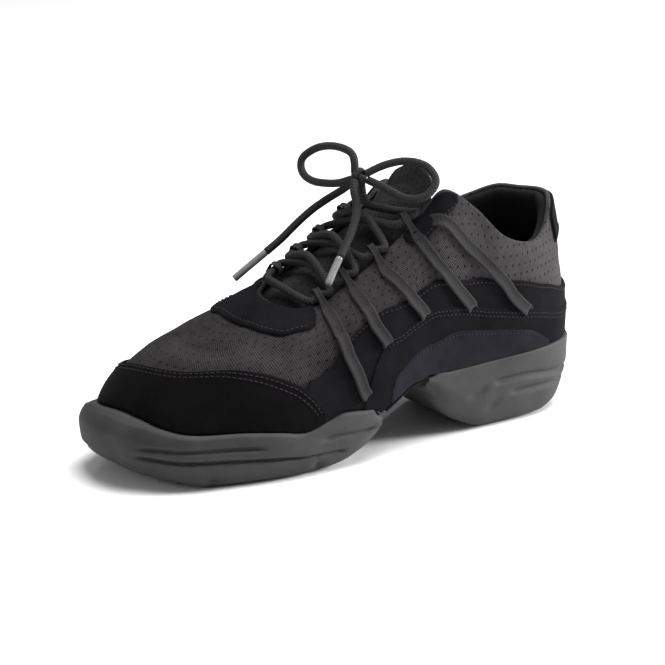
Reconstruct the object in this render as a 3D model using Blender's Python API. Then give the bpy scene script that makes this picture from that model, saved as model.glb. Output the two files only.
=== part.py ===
# Split-sole dance sneaker, left foot, as a reusable part.
# Metres, +Z up, toe towards -Y, the wearer's left (lateral) side towards +X.
# Every form follows one last function: meridians that climb from the feather
# line, where upper and sole meet, to the topline of collar and throat.
import math

import bmesh
import bpy
import numpy as np

# Driving sizes
LENGTH = 0.264
BALL_WIDTH = 0.097
TAB_HEIGHT = 0.104
UPPER_WALL = 0.0022
CLEARANCE = 0.0003
PANEL_LIFT = 0.00035
PANEL_THICKNESS = 0.0012
PANEL_SWELL = 0.0002
SIDE_LAYER_THICKNESS = 0.0014
STRAP_WIDTH = 0.0068
STRAP_THICKNESS = 0.0011
LACE_DIAMETER = 0.0038
AGLET_DIAMETER = 0.0035
INSOLE_THICKNESS = 0.0035
INSOLE_SEAT = 0.0006
TONGUE_THICKNESS = 0.0040
LINING_THICKNESS = 0.0045
GROOVE_DEPTH = 0.0009
EDGE_RADIUS = 0.0038
ARCH_PLATE_THICKNESS = 0.0020

HALF_WIDTH = BALL_WIDTH / 2
LACE_RADIUS = LACE_DIAMETER / 2

# The last, one row per meridian from the heel round the lateral side to the toe
# and back along the medial side.
# name, foot station (0 toe, 1 heel, share of LENGTH), foot side (share of half
# width), top station, top side, top height (share of TAB_HEIGHT), then how far
# the wall rises and leans out of the foot line, and how far it reaches out and
# drops below the topline (shares of TAB_HEIGHT).
LAST_ROWS = (
    ("heel back", 0.972, 0.00, 0.953, 0.00, 1.000, 0.29, 0.04, 0.06, 0.24),
    ("lateral heel corner", 0.950, 0.34, 0.932, 0.26, 0.985, 0.27, 0.03, 0.05, 0.24),
    ("lateral heel", 0.903, 0.52, 0.895, 0.44, 0.865, 0.24, 0.03, 0.05, 0.19),
    ("lateral heel side", 0.833, 0.61, 0.837, 0.63, 0.838, 0.23, 0.04, 0.02, 0.19),
    ("lateral ankle", 0.739, 0.64, 0.769, 0.68, 0.895, 0.23, 0.04, 0.02, 0.21),
    ("lateral waist", 0.652, 0.68, 0.712, 0.61, 1.040, 0.23, 0.04, 0.04, 0.23),
    ("lateral shank", 0.568, 0.74, 0.657, 0.50, 1.130, 0.25, 0.04, 0.10, 0.23),
    ("lateral instep", 0.500, 0.81, 0.608, 0.44, 1.010, 0.27, 0.03, 0.15, 0.15),
    ("lateral midfoot", 0.432, 0.86, 0.545, 0.42, 0.880, 0.27, 0.03, 0.19, 0.12),
    ("lateral ball rear", 0.360, 0.87, 0.477, 0.39, 0.769, 0.27, 0.03, 0.19, 0.09),
    ("lateral ball", 0.280, 0.865, 0.417, 0.35, 0.680, 0.26, 0.03, 0.18, 0.06),
    ("lateral forefoot", 0.189, 0.77, 0.375, 0.26, 0.660, 0.26, 0.03, 0.21, 0.06),
    ("lateral toe", 0.110, 0.62, 0.356, 0.12, 0.670, 0.26, 0.03, 0.29, 0.09),
    ("lateral toe corner", 0.053, 0.29, 0.350, 0.02, 0.680, 0.29, 0.04, 0.40, 0.14),
    ("toe", 0.036, -0.15, 0.348, -0.08, 0.690, 0.33, 0.04, 0.43, 0.14),
    ("medial toe corner", 0.062, -0.53, 0.352, -0.19, 0.695, 0.305, 0.04, 0.36, 0.13),
    ("medial toe", 0.120, -0.77, 0.367, -0.29, 0.710, 0.265, 0.03, 0.23, 0.10),
    ("medial forefoot", 0.195, -0.87, 0.402, -0.37, 0.740, 0.25, 0.03, 0.17, 0.09),
    ("medial ball", 0.280, -0.885, 0.455, -0.41, 0.800, 0.27, 0.03, 0.15, 0.10),
    ("medial ball rear", 0.360, -0.82, 0.508, -0.44, 0.865, 0.27, 0.03, 0.14, 0.10),
    ("medial midfoot", 0.443, -0.74, 0.561, -0.46, 0.933, 0.26, 0.03, 0.13, 0.13),
    ("medial instep", 0.515, -0.66, 0.617, -0.49, 1.019, 0.26, 0.03, 0.11, 0.17),
    ("medial shank", 0.580, -0.60, 0.663, -0.54, 1.087, 0.25, 0.03, 0.08, 0.23),
    ("medial waist", 0.652, -0.58, 0.708, -0.62, 1.000, 0.23, 0.04, 0.04, 0.23),
    ("medial ankle", 0.739, -0.59, 0.780, -0.66, 0.904, 0.23, 0.04, 0.02, 0.21),
    ("medial heel side", 0.833, -0.58, 0.856, -0.63, 0.942, 0.23, 0.04, 0.02, 0.19),
    ("medial heel", 0.905, -0.50, 0.909, -0.49, 0.990, 0.24, 0.04, 0.05, 0.19),
    ("medial heel corner", 0.955, -0.33, 0.936, -0.27, 0.995, 0.27, 0.04, 0.06, 0.24),
)
ROW_COUNT = len(LAST_ROWS)
TOE_ROW = 14
STATIONS_PER_ROW = 3

# station, footbed height as a share of TAB_HEIGHT
FOOTBED_ROWS = (
    (0.00, 0.154), (0.12, 0.139), (0.27, 0.125), (0.39, 0.135), (0.455, 0.183),
    (0.515, 0.260), (0.576, 0.315), (0.636, 0.305), (0.71, 0.268), (0.84, 0.260),
    (1.00, 0.269),
)

# station, height of the outsole's underside as a share of TAB_HEIGHT
FORE_GROUND_ROWS = (
    (-0.05, 0.16), (0.00, 0.105), (0.045, 0.062), (0.10, 0.022), (0.155, 0.0), (0.355, 0.0),
    (0.395, 0.012), (0.435, 0.045), (0.47, 0.092), (0.50, 0.145), (0.55, 0.22),
)
HEEL_GROUND_ROWS = (
    (0.56, 0.29), (0.602, 0.235), (0.625, 0.165), (0.65, 0.10), (0.69, 0.040), (0.735, 0.0),
    (0.875, 0.0), (0.915, 0.020), (0.955, 0.075), (0.985, 0.145), (1.02, 0.24),
)

# Side wall of each sole, one row per last row that it follows.
# last row, rim height (share of TAB_HEIGHT), foot, belly and lip: how far the
# wall stands out of the foot line at the ground, halfway and at the rim (metres)
FORE_WALL_ROWS = (
    (7.0, 0.225, 0.0006, 0.0036, 0.0024),
    (7.8, 0.245, 0.0010, 0.0042, 0.0028),
    (8.6, 0.258, 0.0010, 0.0045, 0.0030),
    (9.0, 0.235, 0.0010, 0.0045, 0.0028),
    (9.6, 0.202, 0.0010, 0.0046, 0.0026),
    (10.2, 0.222, 0.0010, 0.0046, 0.0028),
    (11.0, 0.242, 0.0012, 0.0048, 0.0032),
    (12.0, 0.250, 0.0022, 0.0056, 0.0038),
    (12.6, 0.275, 0.0030, 0.0060, 0.0042),
    (13.1, 0.305, 0.0040, 0.0066, 0.0046),
    (13.6, 0.318, 0.0050, 0.0072, 0.0048),
    (14.4, 0.300, 0.0056, 0.0072, 0.0048),
    (15.0, 0.275, 0.0054, 0.0070, 0.0042),
    (16.0, 0.250, 0.0030, 0.0052, 0.0034),
    (17.0, 0.240, 0.0018, 0.0046, 0.0030),
    (18.0, 0.225, 0.0016, 0.0044, 0.0028),
    (19.0, 0.238, 0.0014, 0.0042, 0.0026),
    (21.0, 0.235, 0.0008, 0.0036, 0.0024),
)
HEEL_WALL_ROWS = (
    (-6.0, 0.325, 0.0004, 0.0028, 0.0024),
    (-5.0, 0.320, 0.0008, 0.0032, 0.0026),
    (-3.0, 0.328, 0.0010, 0.0036, 0.0028),
    (-1.0, 0.335, 0.0010, 0.0040, 0.0032),
    (0.0, 0.340, 0.0010, 0.0042, 0.0034),
    (1.0, 0.336, 0.0010, 0.0040, 0.0032),
    (3.0, 0.330, 0.0010, 0.0036, 0.0028),
    (5.0, 0.318, 0.0008, 0.0032, 0.0026),
    (6.0, 0.325, 0.0004, 0.0028, 0.0024),
)
FORE_CORNERS = (7.333333, 20.666667)
HEEL_CORNERS = (5.666667, 22.333333)
RIM_MINIMUM = 0.0015
ARCH_END_BOWS = (0.0012, 0.0016) + (0.002,) * 7 + (0.0015,) + (0.0005,) * 3
CLOSING_SHARES = (0.17, 0.33, 0.5, 0.67, 0.83)


def smooth_periodic(values, t):
    """Catmull-Rom value of a closed row of numbers at the row position t."""
    count = len(values)
    base = math.floor(t)
    f = t - base
    a, b, c, d = (values[(base + k) % count] for k in (-1, 0, 1, 2))
    return b + 0.5 * f * (c - a + f * (2 * a - 5 * b + 4 * c - d + f * (3 * (b - c) + d - a)))


def table_value(rows, x, column=1):
    """Monotone cubic value of one column of a table at x, held flat past its ends."""
    xs = [row[0] for row in rows]
    ys = [row[column] for row in rows]
    if x <= xs[0]:
        return ys[0]
    if x >= xs[-1]:
        return ys[-1]
    slopes = [(ys[i + 1] - ys[i]) / (xs[i + 1] - xs[i]) for i in range(len(xs) - 1)]

    def tangent(i):
        if i == 0 or i == len(xs) - 1:
            return slopes[min(i, len(slopes) - 1)]
        before, after = slopes[i - 1], slopes[i]
        return 0.0 if before * after <= 0 else 2 * before * after / (before + after)

    i = max(k for k in range(len(xs) - 1) if xs[k] <= x)
    width = xs[i + 1] - xs[i]
    f = (x - xs[i]) / width
    return ((1 + 2 * f) * (1 - f) ** 2 * ys[i] + f * (1 - f) ** 2 * width * tangent(i)
            + f * f * (3 - 2 * f) * ys[i + 1] - f * f * (1 - f) * width * tangent(i + 1))


def station_y(share):
    return (share - 0.5) * LENGTH


def station_of(y):
    return y / LENGTH + 0.5


def footbed(y):
    return TAB_HEIGHT * table_value(FOOTBED_ROWS, station_of(y))


def fore_ground(y):
    return TAB_HEIGHT * table_value(FORE_GROUND_ROWS, station_of(y))


def heel_ground(y):
    return TAB_HEIGHT * table_value(HEEL_GROUND_ROWS, station_of(y))


def last_value(column, t):
    return smooth_periodic([row[column] for row in LAST_ROWS], t)


def foot_point(t):
    """Point of the feather line."""
    y = station_y(last_value(1, t))
    return np.array([HALF_WIDTH * last_value(2, t), y, footbed(y)])


def outward(t):
    """Level unit vector that points out of the feather line."""
    step = foot_point(t + 0.05) - foot_point(t - 0.05)
    out = np.array([-step[1], step[0], 0.0])
    return out / np.linalg.norm(out)


def top_point(t):
    """Point of the topline."""
    return np.array([HALF_WIDTH * last_value(4, t), station_y(last_value(3, t)),
                     TAB_HEIGHT * last_value(5, t)])


def meridian(t):
    """Four Bezier points of the wall at row position t."""
    foot, top, out = foot_point(t), top_point(t), outward(t)
    up = np.array([0.0, 0.0, 1.0])
    low = foot + TAB_HEIGHT * (last_value(6, t) * up + last_value(7, t) * out)
    high = top + TAB_HEIGHT * (last_value(8, t) * out - last_value(9, t) * up)
    return foot, low, high, top


def shell(t, s):
    """Outer face of the upper at row position t and height share s."""
    a, b, c, d = meridian(t)
    r = 1.0 - s
    return r ** 3 * a + 3 * r * r * s * b + 3 * r * s * s * c + s ** 3 * d


def shell_normal(t, s):
    s = min(max(s, 0.002), 0.998)
    along = shell(t + 0.04, s) - shell(t - 0.04, s)
    climb = shell(t, s + 0.002) - shell(t, s - 0.002)
    normal = np.cross(climb, along)
    return normal / np.linalg.norm(normal)


def lifted(t, s, lift):
    """Point that stands off the upper's outer face by lift."""
    return shell(t, s) + lift * shell_normal(t, s)


def height_share(t, z):
    """Height share s at which the wall at t reaches the height z."""
    shares = np.linspace(0.0, 0.9, 60)
    heights = [shell(t, s)[2] for s in shares]
    return float(np.interp(z, heights, shares))


def material(name, color, roughness):
    found = bpy.data.materials.get(name)
    if found:
        return found
    made = bpy.data.materials.new(name)
    made.use_nodes = True
    shader = made.node_tree.nodes["Principled BSDF"]
    shader.inputs["Base Color"].default_value = (*color, 1.0)
    shader.inputs["Roughness"].default_value = roughness
    made.diffuse_color = (*color, 1.0)
    return made


MATERIALS = {
    "rubber": (0.055, 0.052, 0.054, 0.62),
    "suede": (0.009, 0.009, 0.010, 0.95),
    "mesh": (0.060, 0.055, 0.057, 0.90),
    "side_layer": (0.026, 0.026, 0.030, 0.90),
    "webbing": (0.060, 0.056, 0.054, 0.80),
    "lining": (0.020, 0.019, 0.020, 0.92),
    "footbed": (0.018, 0.018, 0.019, 0.90),
    "lace": (0.030, 0.029, 0.029, 0.75),
    "aglet": (0.200, 0.195, 0.190, 0.35),
}


def new_object(name, points, faces, slot):
    """Mesh object with outward faces and its own material."""
    mesh = bpy.data.meshes.new(name)
    mesh.from_pydata([tuple(p) for p in points], [], faces)
    part = bpy.data.objects.new(name, mesh)
    bpy.context.scene.collection.objects.link(part)
    edit = bmesh.new()
    edit.from_mesh(mesh)
    bmesh.ops.remove_doubles(edit, verts=edit.verts, dist=1e-6)
    bmesh.ops.dissolve_degenerate(edit, edges=edit.edges, dist=1e-6)
    bmesh.ops.recalc_face_normals(edit, faces=edit.faces)
    if edit.calc_volume(signed=True) < 0:
        bmesh.ops.reverse_faces(edit, faces=edit.faces)
    edit.to_mesh(mesh)
    edit.free()
    *color, roughness = MATERIALS[slot]
    mesh.materials.append(material(name + "_" + slot, color, roughness))
    return part


def ring_faces(ring_count, size, closed):
    """Quads that join rings of points, also last to first when closed."""
    faces = []
    for j in range(ring_count if closed else ring_count - 1):
        k = (j + 1) % ring_count
        for i in range(size):
            n = (i + 1) % size
            faces.append((j * size + i, j * size + n, k * size + n, k * size + i))
    return faces


def ladder(points, faces, loop, height, splits=4):
    """Caps an even closed loop with rungs that run across it."""
    size = len(loop)
    half = size // 2
    rows = [[loop[0]]]
    for k in range(1, half):
        a, b = np.array(points[loop[k]]), np.array(points[loop[size - k]])
        row = [loop[k]]
        for j in range(1, splits):
            p = a + (b - a) * j / splits
            p[2] = height(p, a, b, j / splits)
            row.append(len(points))
            points.append(p)
        row.append(loop[size - k])
        rows.append(row)
    rows.append([loop[half]])
    for low, high in zip(rows, rows[1:]):
        for j in range(splits):
            quad = [low[min(j, len(low) - 1)], low[min(j + 1, len(low) - 1)],
                    high[min(j + 1, len(high) - 1)], high[min(j, len(high) - 1)]]
            face = list(dict.fromkeys(quad))
            if len(face) > 2:
                faces.append(tuple(face))


def rounded_edge(base, out, ground):
    """Three points that turn a sole's flat underside up into its wall."""
    low = ground(base[1])
    points = [base - 2.2 * EDGE_RADIUS * out, base - 0.75 * EDGE_RADIUS * out, base.copy()]
    for point, rise in zip(points, (0.0, 0.15, 1.0)):
        point[2] = low + rise * EDGE_RADIUS
    points[0][2] = ground(points[0][1])
    return points


def cup_sole(name, order, corners, wall_rows, ground, row_shift):
    """Outsole with a side wall around the upper and an open arch end.

    order lists the row positions of the side stations, ends at the corners and
    starts at the tip. row_shift wraps medial rows of the heel below zero."""
    half = (len(order) + 1) // 2
    lateral, medial = order[:half], order[half:]
    toward_gap = 1.0 if ground is fore_ground else -1.0
    profiles = []

    def side_profile(t):
        foot, out = foot_point(t), outward(t)
        at_corner = min(abs(t - corner) for corner in corners) < 0.01
        if at_corner:
            out = np.array([math.copysign(1.0, foot[0]), 0.0, 0.0])
        row = t - ROW_COUNT if row_shift and t > ROW_COUNT / 2 else t
        rim = max(TAB_HEIGHT * table_value(wall_rows, row), foot[2] + RIM_MINIMUM)
        if at_corner:
            rim = foot[2] - CLEARANCE
        ground_out = table_value(wall_rows, row, 2)
        belly = table_value(wall_rows, row, 3)
        lip = table_value(wall_rows, row, 4)
        base = foot + ground_out * out
        low = ground(base[1])
        s_rim = height_share(t, rim)
        inner = [lifted(t, s_rim * k / 2, CLEARANCE) for k in (2, 1, 0)]
        inner[-1] = foot + CLEARANCE * out
        rim_out = inner[0] + lip * out
        points = rounded_edge(base, out, ground)
        for v, groove in ((0.24, 0), (0.45, 0), (0.52, 1), (0.59, 0), (0.80, 0)):
            swell = math.sin(math.pi * min(v / 0.62, 1.0) / 2) if v < 0.62 else 1.0
            width = ground_out + (belly - ground_out) * swell
            spot = foot + width * out
            blend = max(0.0, (v - 0.59) / 0.41) ** 2
            spot = spot * (1 - blend) + rim_out * blend
            spot = spot - groove * GROOVE_DEPTH * out
            spot[2] = low + EDGE_RADIUS + v * (rim - low - EDGE_RADIUS)
            points.append(spot)
        shoulder = rim_out.copy()
        shoulder[2] = rim - min(0.0006, 0.12 * (rim - low - EDGE_RADIUS))
        points.append(shoulder)
        crest = rim_out - 0.30 * lip * out
        crest[2] = rim
        points.append(crest)
        if at_corner:
            inner = [inner[-1].copy() for _ in inner]
            for point in inner:
                point[2] = rim
        return points + inner

    ends = [side_profile(corners[0]), side_profile(corners[1])]

    def gap_profile(f):
        """Profile of the arch end, between the two corner profiles."""
        points = []
        floor, full = ends[0][0][2], ends[0][-1][2] - ends[0][0][2]
        for a, b, reach in zip(*ends, ARCH_END_BOWS):
            spot = a * (1 - f) + b * f
            rise = (a[2] - floor) / full
            spot[1] += toward_gap * reach * 4 * f * (1 - f)
            low, high = ground(spot[1]), footbed(spot[1]) - CLEARANCE
            spot[2] = low + (high - low) * rise
            points.append(spot)
        return points

    profiles += [side_profile(t) for t in lateral]
    profiles += [gap_profile(f) for f in CLOSING_SHARES]
    profiles += [side_profile(t) for t in medial]
    size = len(profiles)
    depth = len(profiles[0])
    for profile in profiles:
        profile[-1][2] = footbed(profile[-1][1]) - CLEARANCE
    points = [profiles[i][j] for j in range(depth) for i in range(size)]
    faces = ring_faces(depth, size, False)
    ladder(points, faces, list(range(size)), lambda p, a, b, f: ground(p[1]))
    top = list(range((depth - 1) * size, depth * size))
    ladder(points, faces, top, lambda p, a, b, f: footbed(p[1]) - CLEARANCE)
    return new_object(name, points, faces, "rubber")


def fore_sole():
    steps = 3
    lateral = [TOE_ROW - k / steps for k in range(21)]
    medial = [TOE_ROW + k / steps for k in range(20, 0, -1)]
    return cup_sole("forefoot_sole", lateral + medial, FORE_CORNERS, FORE_WALL_ROWS,
                    fore_ground, False)


def heel_sole():
    steps = 3
    lateral = [k / steps for k in range(18)]
    medial = [ROW_COUNT - k / steps for k in range(17, 0, -1)]
    return cup_sole("heel_sole", lateral + medial, HEEL_CORNERS, HEEL_WALL_ROWS,
                    heel_ground, True)


UPPER_SHARES = (0.0, 0.09, 0.19, 0.31, 0.44, 0.57, 0.69, 0.80, 0.90, 1.0)
INNER_SHARES = (0.0, 0.09, 0.25, 0.44, 0.63, 0.80, 0.90, 1.0)


def upper():
    """Hollow upper: outer face, topline, inner face and feather edge."""
    size = ROW_COUNT * STATIONS_PER_ROW
    stations = [k / STATIONS_PER_ROW for k in range(size)]
    points = [lifted(t, s, 0.0) for s in UPPER_SHARES for t in stations]
    for s in reversed(INNER_SHARES):
        ring = [lifted(t, s, -UPPER_WALL) for t in stations]
        if s == 0.0:
            for point, t in zip(ring, stations):
                point[2] = footbed(point[1])
        points += ring
    rings = len(UPPER_SHARES) + len(INNER_SHARES)
    return new_object("upper", points, ring_faces(rings, size, True), "mesh")


def insole():
    """Footbed board that closes the upper's inside above both soles."""
    size = ROW_COUNT * 2
    stations = [k / 2 for k in range(size)]
    inset = UPPER_WALL + 2 * CLEARANCE
    levels = ((INSOLE_SEAT, inset + 0.0006), (0.0016, inset), (INSOLE_THICKNESS, inset + 0.0004))
    points = []
    order = [(TOE_ROW - t) % ROW_COUNT for t in stations]
    for rise, inward in levels:
        for t in order:
            spot = foot_point(t) - inward * outward(t)
            spot[2] = footbed(spot[1]) + rise
            points.append(spot)
    faces = ring_faces(len(levels), size, False)
    ladder(points, faces, list(range(size)), lambda p, a, b, f: footbed(p[1]) + INSOLE_SEAT, 3)
    top = list(range((len(levels) - 1) * size, len(levels) * size))
    ladder(points, faces, top, lambda p, a, b, f: footbed(p[1]) + INSOLE_THICKNESS, 3)
    return new_object("insole", points, faces, "footbed")


# Edges of the overlays on the upper, as row position against height share. The
# ones marked folded serve both sides, with the medial side folded onto the
# lateral rows.
TOE_CAP_EDGE = (
    (9.0, 0.14), (9.2, 0.19), (9.6, 0.29), (10.2, 0.40), (11.2, 0.49), (12.3, 0.53),
    (13.1, 0.50), (14.0, 0.45), (15.0, 0.38), (16.0, 0.36), (17.0, 0.37), (17.8, 0.34),
    (18.4, 0.27), (18.8, 0.19), (19.0, 0.14),
)
EYESTAY_EDGE = (
    (10.2, 0.84), (10.5, 0.77), (10.8, 0.77), (11.5, 0.75), (12.1, 0.78), (13.0, 0.83),
    (14.2, 0.84), (15.0, 0.80), (15.8, 0.78), (16.5, 0.84),
)
FOXING_EDGE_FOLDED = (
    (0.0, 0.40), (1.2, 0.43), (2.4, 0.60), (3.5, 0.70), (4.3, 0.66), (5.3, 0.55),
    (5.8, 0.53), (7.0, 0.55), (7.7, 0.60), (8.3, 0.645), (9.1, 0.58), (9.35, 0.48),
    (9.6, 0.41), (10.0, 0.40),
)
BAND_EDGE_FOLDED = (
    (0.0, 0.29), (1.5, 0.31), (3.1, 0.45), (3.9, 0.475), (5.0, 0.43), (5.6, 0.40),
    (6.3, 0.385), (7.2, 0.40), (7.6, 0.43), (7.85, 0.42), (8.0, 0.34),
)
SIDE_LAYER_EDGE_FOLDED = (
    (7 / 3, 0.14), (3.2, 0.29), (4.1, 0.32), (5.2, 0.27), (5.7, 0.21), (6.5, 0.18),
    (7.0, 0.14),
)
HEEL_TAB_LOW = 0.76
HEEL_TAB_ROWS = 1.0
THROAT_CORNER_EDGE = ((5.7, 0.95), (6.0, 0.87), (6.4, 0.86), (6.8, 0.93))
# Webbing straps of the lateral side, each with its (row position, height share)
# rows from the throat down, and the row position of the medial strap's loop, or
# 0 for the pair without a loop.
STRAP_ROWS = (
    (((9.95, 1.0), (9.90, 0.88), (9.60, 0.70), (9.10, 0.50), (8.50, 0.33), (8.15, 0.22)), 17.0),
    (((9.10, 1.0), (9.05, 0.88), (8.80, 0.74), (8.45, 0.59), (7.95, 0.455)), 18.0),
    (((8.25, 1.0), (8.20, 0.88), (7.85, 0.74), (7.30, 0.57), (6.50, 0.41)), 19.0),
    (((7.25, 1.0), (7.15, 0.88), (6.75, 0.73), (6.05, 0.58), (5.10, 0.465)), 20.1),
    (((6.15, 0.83), (5.40, 0.75), (4.60, 0.72), (4.05, 0.67), (3.70, 0.58), (3.40, 0.50)), 0),
)
STRAP_STEPS = 2
STRAP_LIFT = 0.00065
STRAP_RAMP = (0.040, 0.090)
LOOP_REACH = 0.0038
LOOP_RISE = 0.0022
LOOP_RADIUS = 0.0032
LOOP_LACE_RUN = 0.0060
ARCH_ROWS = (5.9, 7.1)
ARCH_DROP = 0.0005
LINING_END = 5.2
LINING_GAP = 0.0005

# Laces. The routes of the free bow are hand-placed points in millimetres.
LACE_CROSSING_RISE = 0.0060
LACE_BAR_MIDDLE = (-0.006, -0.037, 0.0800)
LATERAL_TOP_ROUTE = ((0.0005, 0.0125, 0.1170), (-0.0010, 0.0150, 0.1100),
                     (0.0070, 0.0225, 0.1075), (0.0150, 0.0290, 0.1070))
MEDIAL_TOP_ROUTE = ((-0.0045, 0.0130, 0.1172), (-0.0080, 0.0165, 0.1125),
                    (-0.0135, 0.0225, 0.1090))
KNOT_MIDDLE = (-2.0, 11.6, 123.0)
KNOT_AXIS = (7.8, 4.8, -1.0)
KNOT_RADIUS = 2.15
BOW_ROUTES = {
    "lace_loop_left": (
        (-6.6, 10.8, 125.1), (-6.4, 12.0, 128.8), (-8.9, 12.4, 132.0), (-13.4, 11.4, 133.8),
        (-20.3, 9.2, 134.3), (-27.2, 6.5, 132.9), (-32.4, 3.7, 129.8), (-35.2, 1.6, 126.2),
        (-34.7, 0.7, 122.3), (-31.2, 0.4, 119.2), (-25.9, 1.7, 117.3), (-19.1, 4.0, 117.3),
        (-12.1, 6.7, 118.4), (-6.8, 8.4, 120.2)),
    "lace_loop_right": (
        (2.4, 14.6, 125.2), (3.6, 19.2, 127.4), (6.1, 23.6, 129.1), (9.4, 28.3, 130.2),
        (13.6, 32.4, 130.1), (18.2, 35.4, 128.7), (22.2, 36.5, 126.0), (25.1, 36.2, 122.8),
        (25.9, 34.0, 119.5), (25.2, 30.5, 116.5), (22.6, 26.8, 115.0), (18.3, 23.0, 115.1),
        (12.9, 20.0, 117.3), (7.6, 17.5, 119.4), (4.2, 15.6, 120.6)),
    "lace_end_right": (
        (0.5, 5.6, 120.6), (3.0, 5.5, 116.9), (5.2, 5.2, 113.2), (8.2, 3.2, 107.7),
        (12.2, -1.7, 102.2), (15.4, -7.3, 96.5), (17.8, -12.2, 91.6)),
    "lace_end_left": (
        (-10.2, 13.6, 118.3), (-15.4, 11.6, 114.0), (-20.0, 6.8, 109.6), (-24.0, -0.1, 104.0),
        (-27.0, -7.1, 97.4), (-29.0, -14.3, 90.6), (-31.0, -21.4, 84.9)),
}
AGLET_ROUTES = {
    "aglet_right": ((18.0, -12.8, 91.0), (19.8, -17.0, 86.3), (22.0, -21.4, 81.3)),
    "aglet_left": ((-31.2, -22.3, 84.2), (-33.1, -29.6, 78.6), (-35.0, -36.8, 73.0)),
}
EDGE_GAP = 0.009
EDGE_END = 0.992
BAND_FRONT_ROW = 8.0
CAP_ROWS = (9.1, 18.9)
EYESTAY_ROWS = (10.3, 16.4)
FOXING_FRONT_ROW = 9.9


def folded(t):
    """Row position folded onto the lateral side."""
    t = t % ROW_COUNT
    return min(t, ROW_COUNT - t)


def rim_share(t):
    """Height share just above the sole's rim, or the foot line in the arch."""
    row = t % ROW_COUNT
    if FORE_CORNERS[0] <= row <= FORE_CORNERS[1]:
        rim = TAB_HEIGHT * table_value(FORE_WALL_ROWS, row)
    elif folded(t) <= HEEL_CORNERS[0]:
        rim = TAB_HEIGHT * table_value(HEEL_WALL_ROWS, folded(t))
    else:
        return 0.0
    return height_share(row, max(rim, foot_point(row)[2] + RIM_MINIMUM)) + EDGE_GAP


def fold_edge(rows):
    return lambda t: table_value(rows, folded(t))


def slab(name, ends, low, high, rows, slot, thickness=PANEL_THICKNESS, extra=()):
    """Overlay on the upper between two edges, each a height share along t.

    The rows between its edges swell a little, so that it clears the upper's facets."""
    first, last = ends
    lift = PANEL_LIFT
    inner = range(math.ceil(first * STATIONS_PER_ROW + 0.2),
                  math.floor(last * STATIONS_PER_ROW - 0.2) + 1)
    stations = sorted([first, last, *extra] + [k / STATIONS_PER_ROW for k in inner])
    points = []
    for t in stations:
        bottom = low(t)
        top = max(high(t), bottom + 0.012)
        steps = [k / (rows - 1) for k in range(rows)]
        inner_face = [(bottom + (top - bottom) * f, lift + PANEL_SWELL * math.sin(math.pi * f))
                      for f in steps]
        points += [lifted(t, s, rise) for s, rise in inner_face]
        points += [lifted(t, s, rise + thickness) for s, rise in reversed(inner_face)]
    size = 2 * rows
    faces = ring_faces(len(stations), size, False)
    for k in range(rows - 1):
        quad = (k, k + 1, size - 2 - k, size - 1 - k)
        faces.append(quad)
        faces.append(tuple((len(stations) - 1) * size + i for i in reversed(quad)))
    return new_object(name, points, faces, slot)


def toe_cap():
    return slab("toe_cap", CAP_ROWS, rim_share, lambda t: table_value(TOE_CAP_EDGE, t), 4,
                "suede")


def eyestay():
    return slab("eyestay", EYESTAY_ROWS, lambda t: table_value(EYESTAY_EDGE, t),
                lambda t: EDGE_END, 3, "suede")


def foxing():
    """Suede lower panel that runs from the toe cap round the heel."""
    band = fold_edge(BAND_EDGE_FOLDED)

    def low(t):
        if folded(t) < BAND_FRONT_ROW + 0.07:
            return band(t) + EDGE_GAP
        row = t % ROW_COUNT
        if folded(t) <= CAP_ROWS[0] - 0.1:
            return rim_share(t)
        return max(table_value(TOE_CAP_EDGE, row) + EDGE_GAP, rim_share(t))
    step = [BAND_FRONT_ROW + 0.06, BAND_FRONT_ROW + 0.12]
    return slab("foxing", (-FOXING_FRONT_ROW, FOXING_FRONT_ROW), low,
                fold_edge(FOXING_EDGE_FOLDED), 4, "suede", extra=step + [-t for t in step])


def side_band():
    """Stitched band over the arch and round the heel, down to the soles."""
    layer = fold_edge(SIDE_LAYER_EDGE_FOLDED)

    def low(t):
        first, last = SIDE_LAYER_EDGE_FOLDED[0][0], SIDE_LAYER_EDGE_FOLDED[-1][0]
        if first - 0.01 < folded(t) < last + 0.01:
            return max(layer(t) + EDGE_GAP, rim_share(t))
        return rim_share(t)
    return slab("side_band", (-BAND_FRONT_ROW, BAND_FRONT_ROW), low,
                fold_edge(BAND_EDGE_FOLDED), 3, "suede")


def heel_tab():
    return slab("heel_tab", (-HEEL_TAB_ROWS, HEEL_TAB_ROWS), lambda t: HEEL_TAB_LOW,
                lambda t: EDGE_END, 3, "suede")


def throat_corners():
    low = fold_edge(THROAT_CORNER_EDGE)
    ends = (THROAT_CORNER_EDGE[0][0], THROAT_CORNER_EDGE[-1][0])
    slab("throat_corner_lateral", ends, low, lambda t: EDGE_END, 3, "suede")
    mirrored = (ROW_COUNT - ends[1], ROW_COUNT - ends[0])
    slab("throat_corner_medial", mirrored, low, lambda t: EDGE_END, 3, "suede")


# Tongue stations past the throat corners: run along the tongue (metres) and
# the share of the corner's half width that is left there.
TONGUE_TOP_ROWS = ((0.003, 0.93), (0.007, 0.86), (0.0105, 0.74), (0.013, 0.52))
TONGUE_CORNERS = (6.5, 21.5)
TONGUE_CROWN = 0.0058
TONGUE_CROWN_SPAN = 0.030
TONGUE_SEAT = 0.0009
TONGUE_LIP = 0.005
TONGUE_STATIONS_PER_ROW = 2
TONGUE_RISE = (0.0, 0.35, 0.94)


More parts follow.
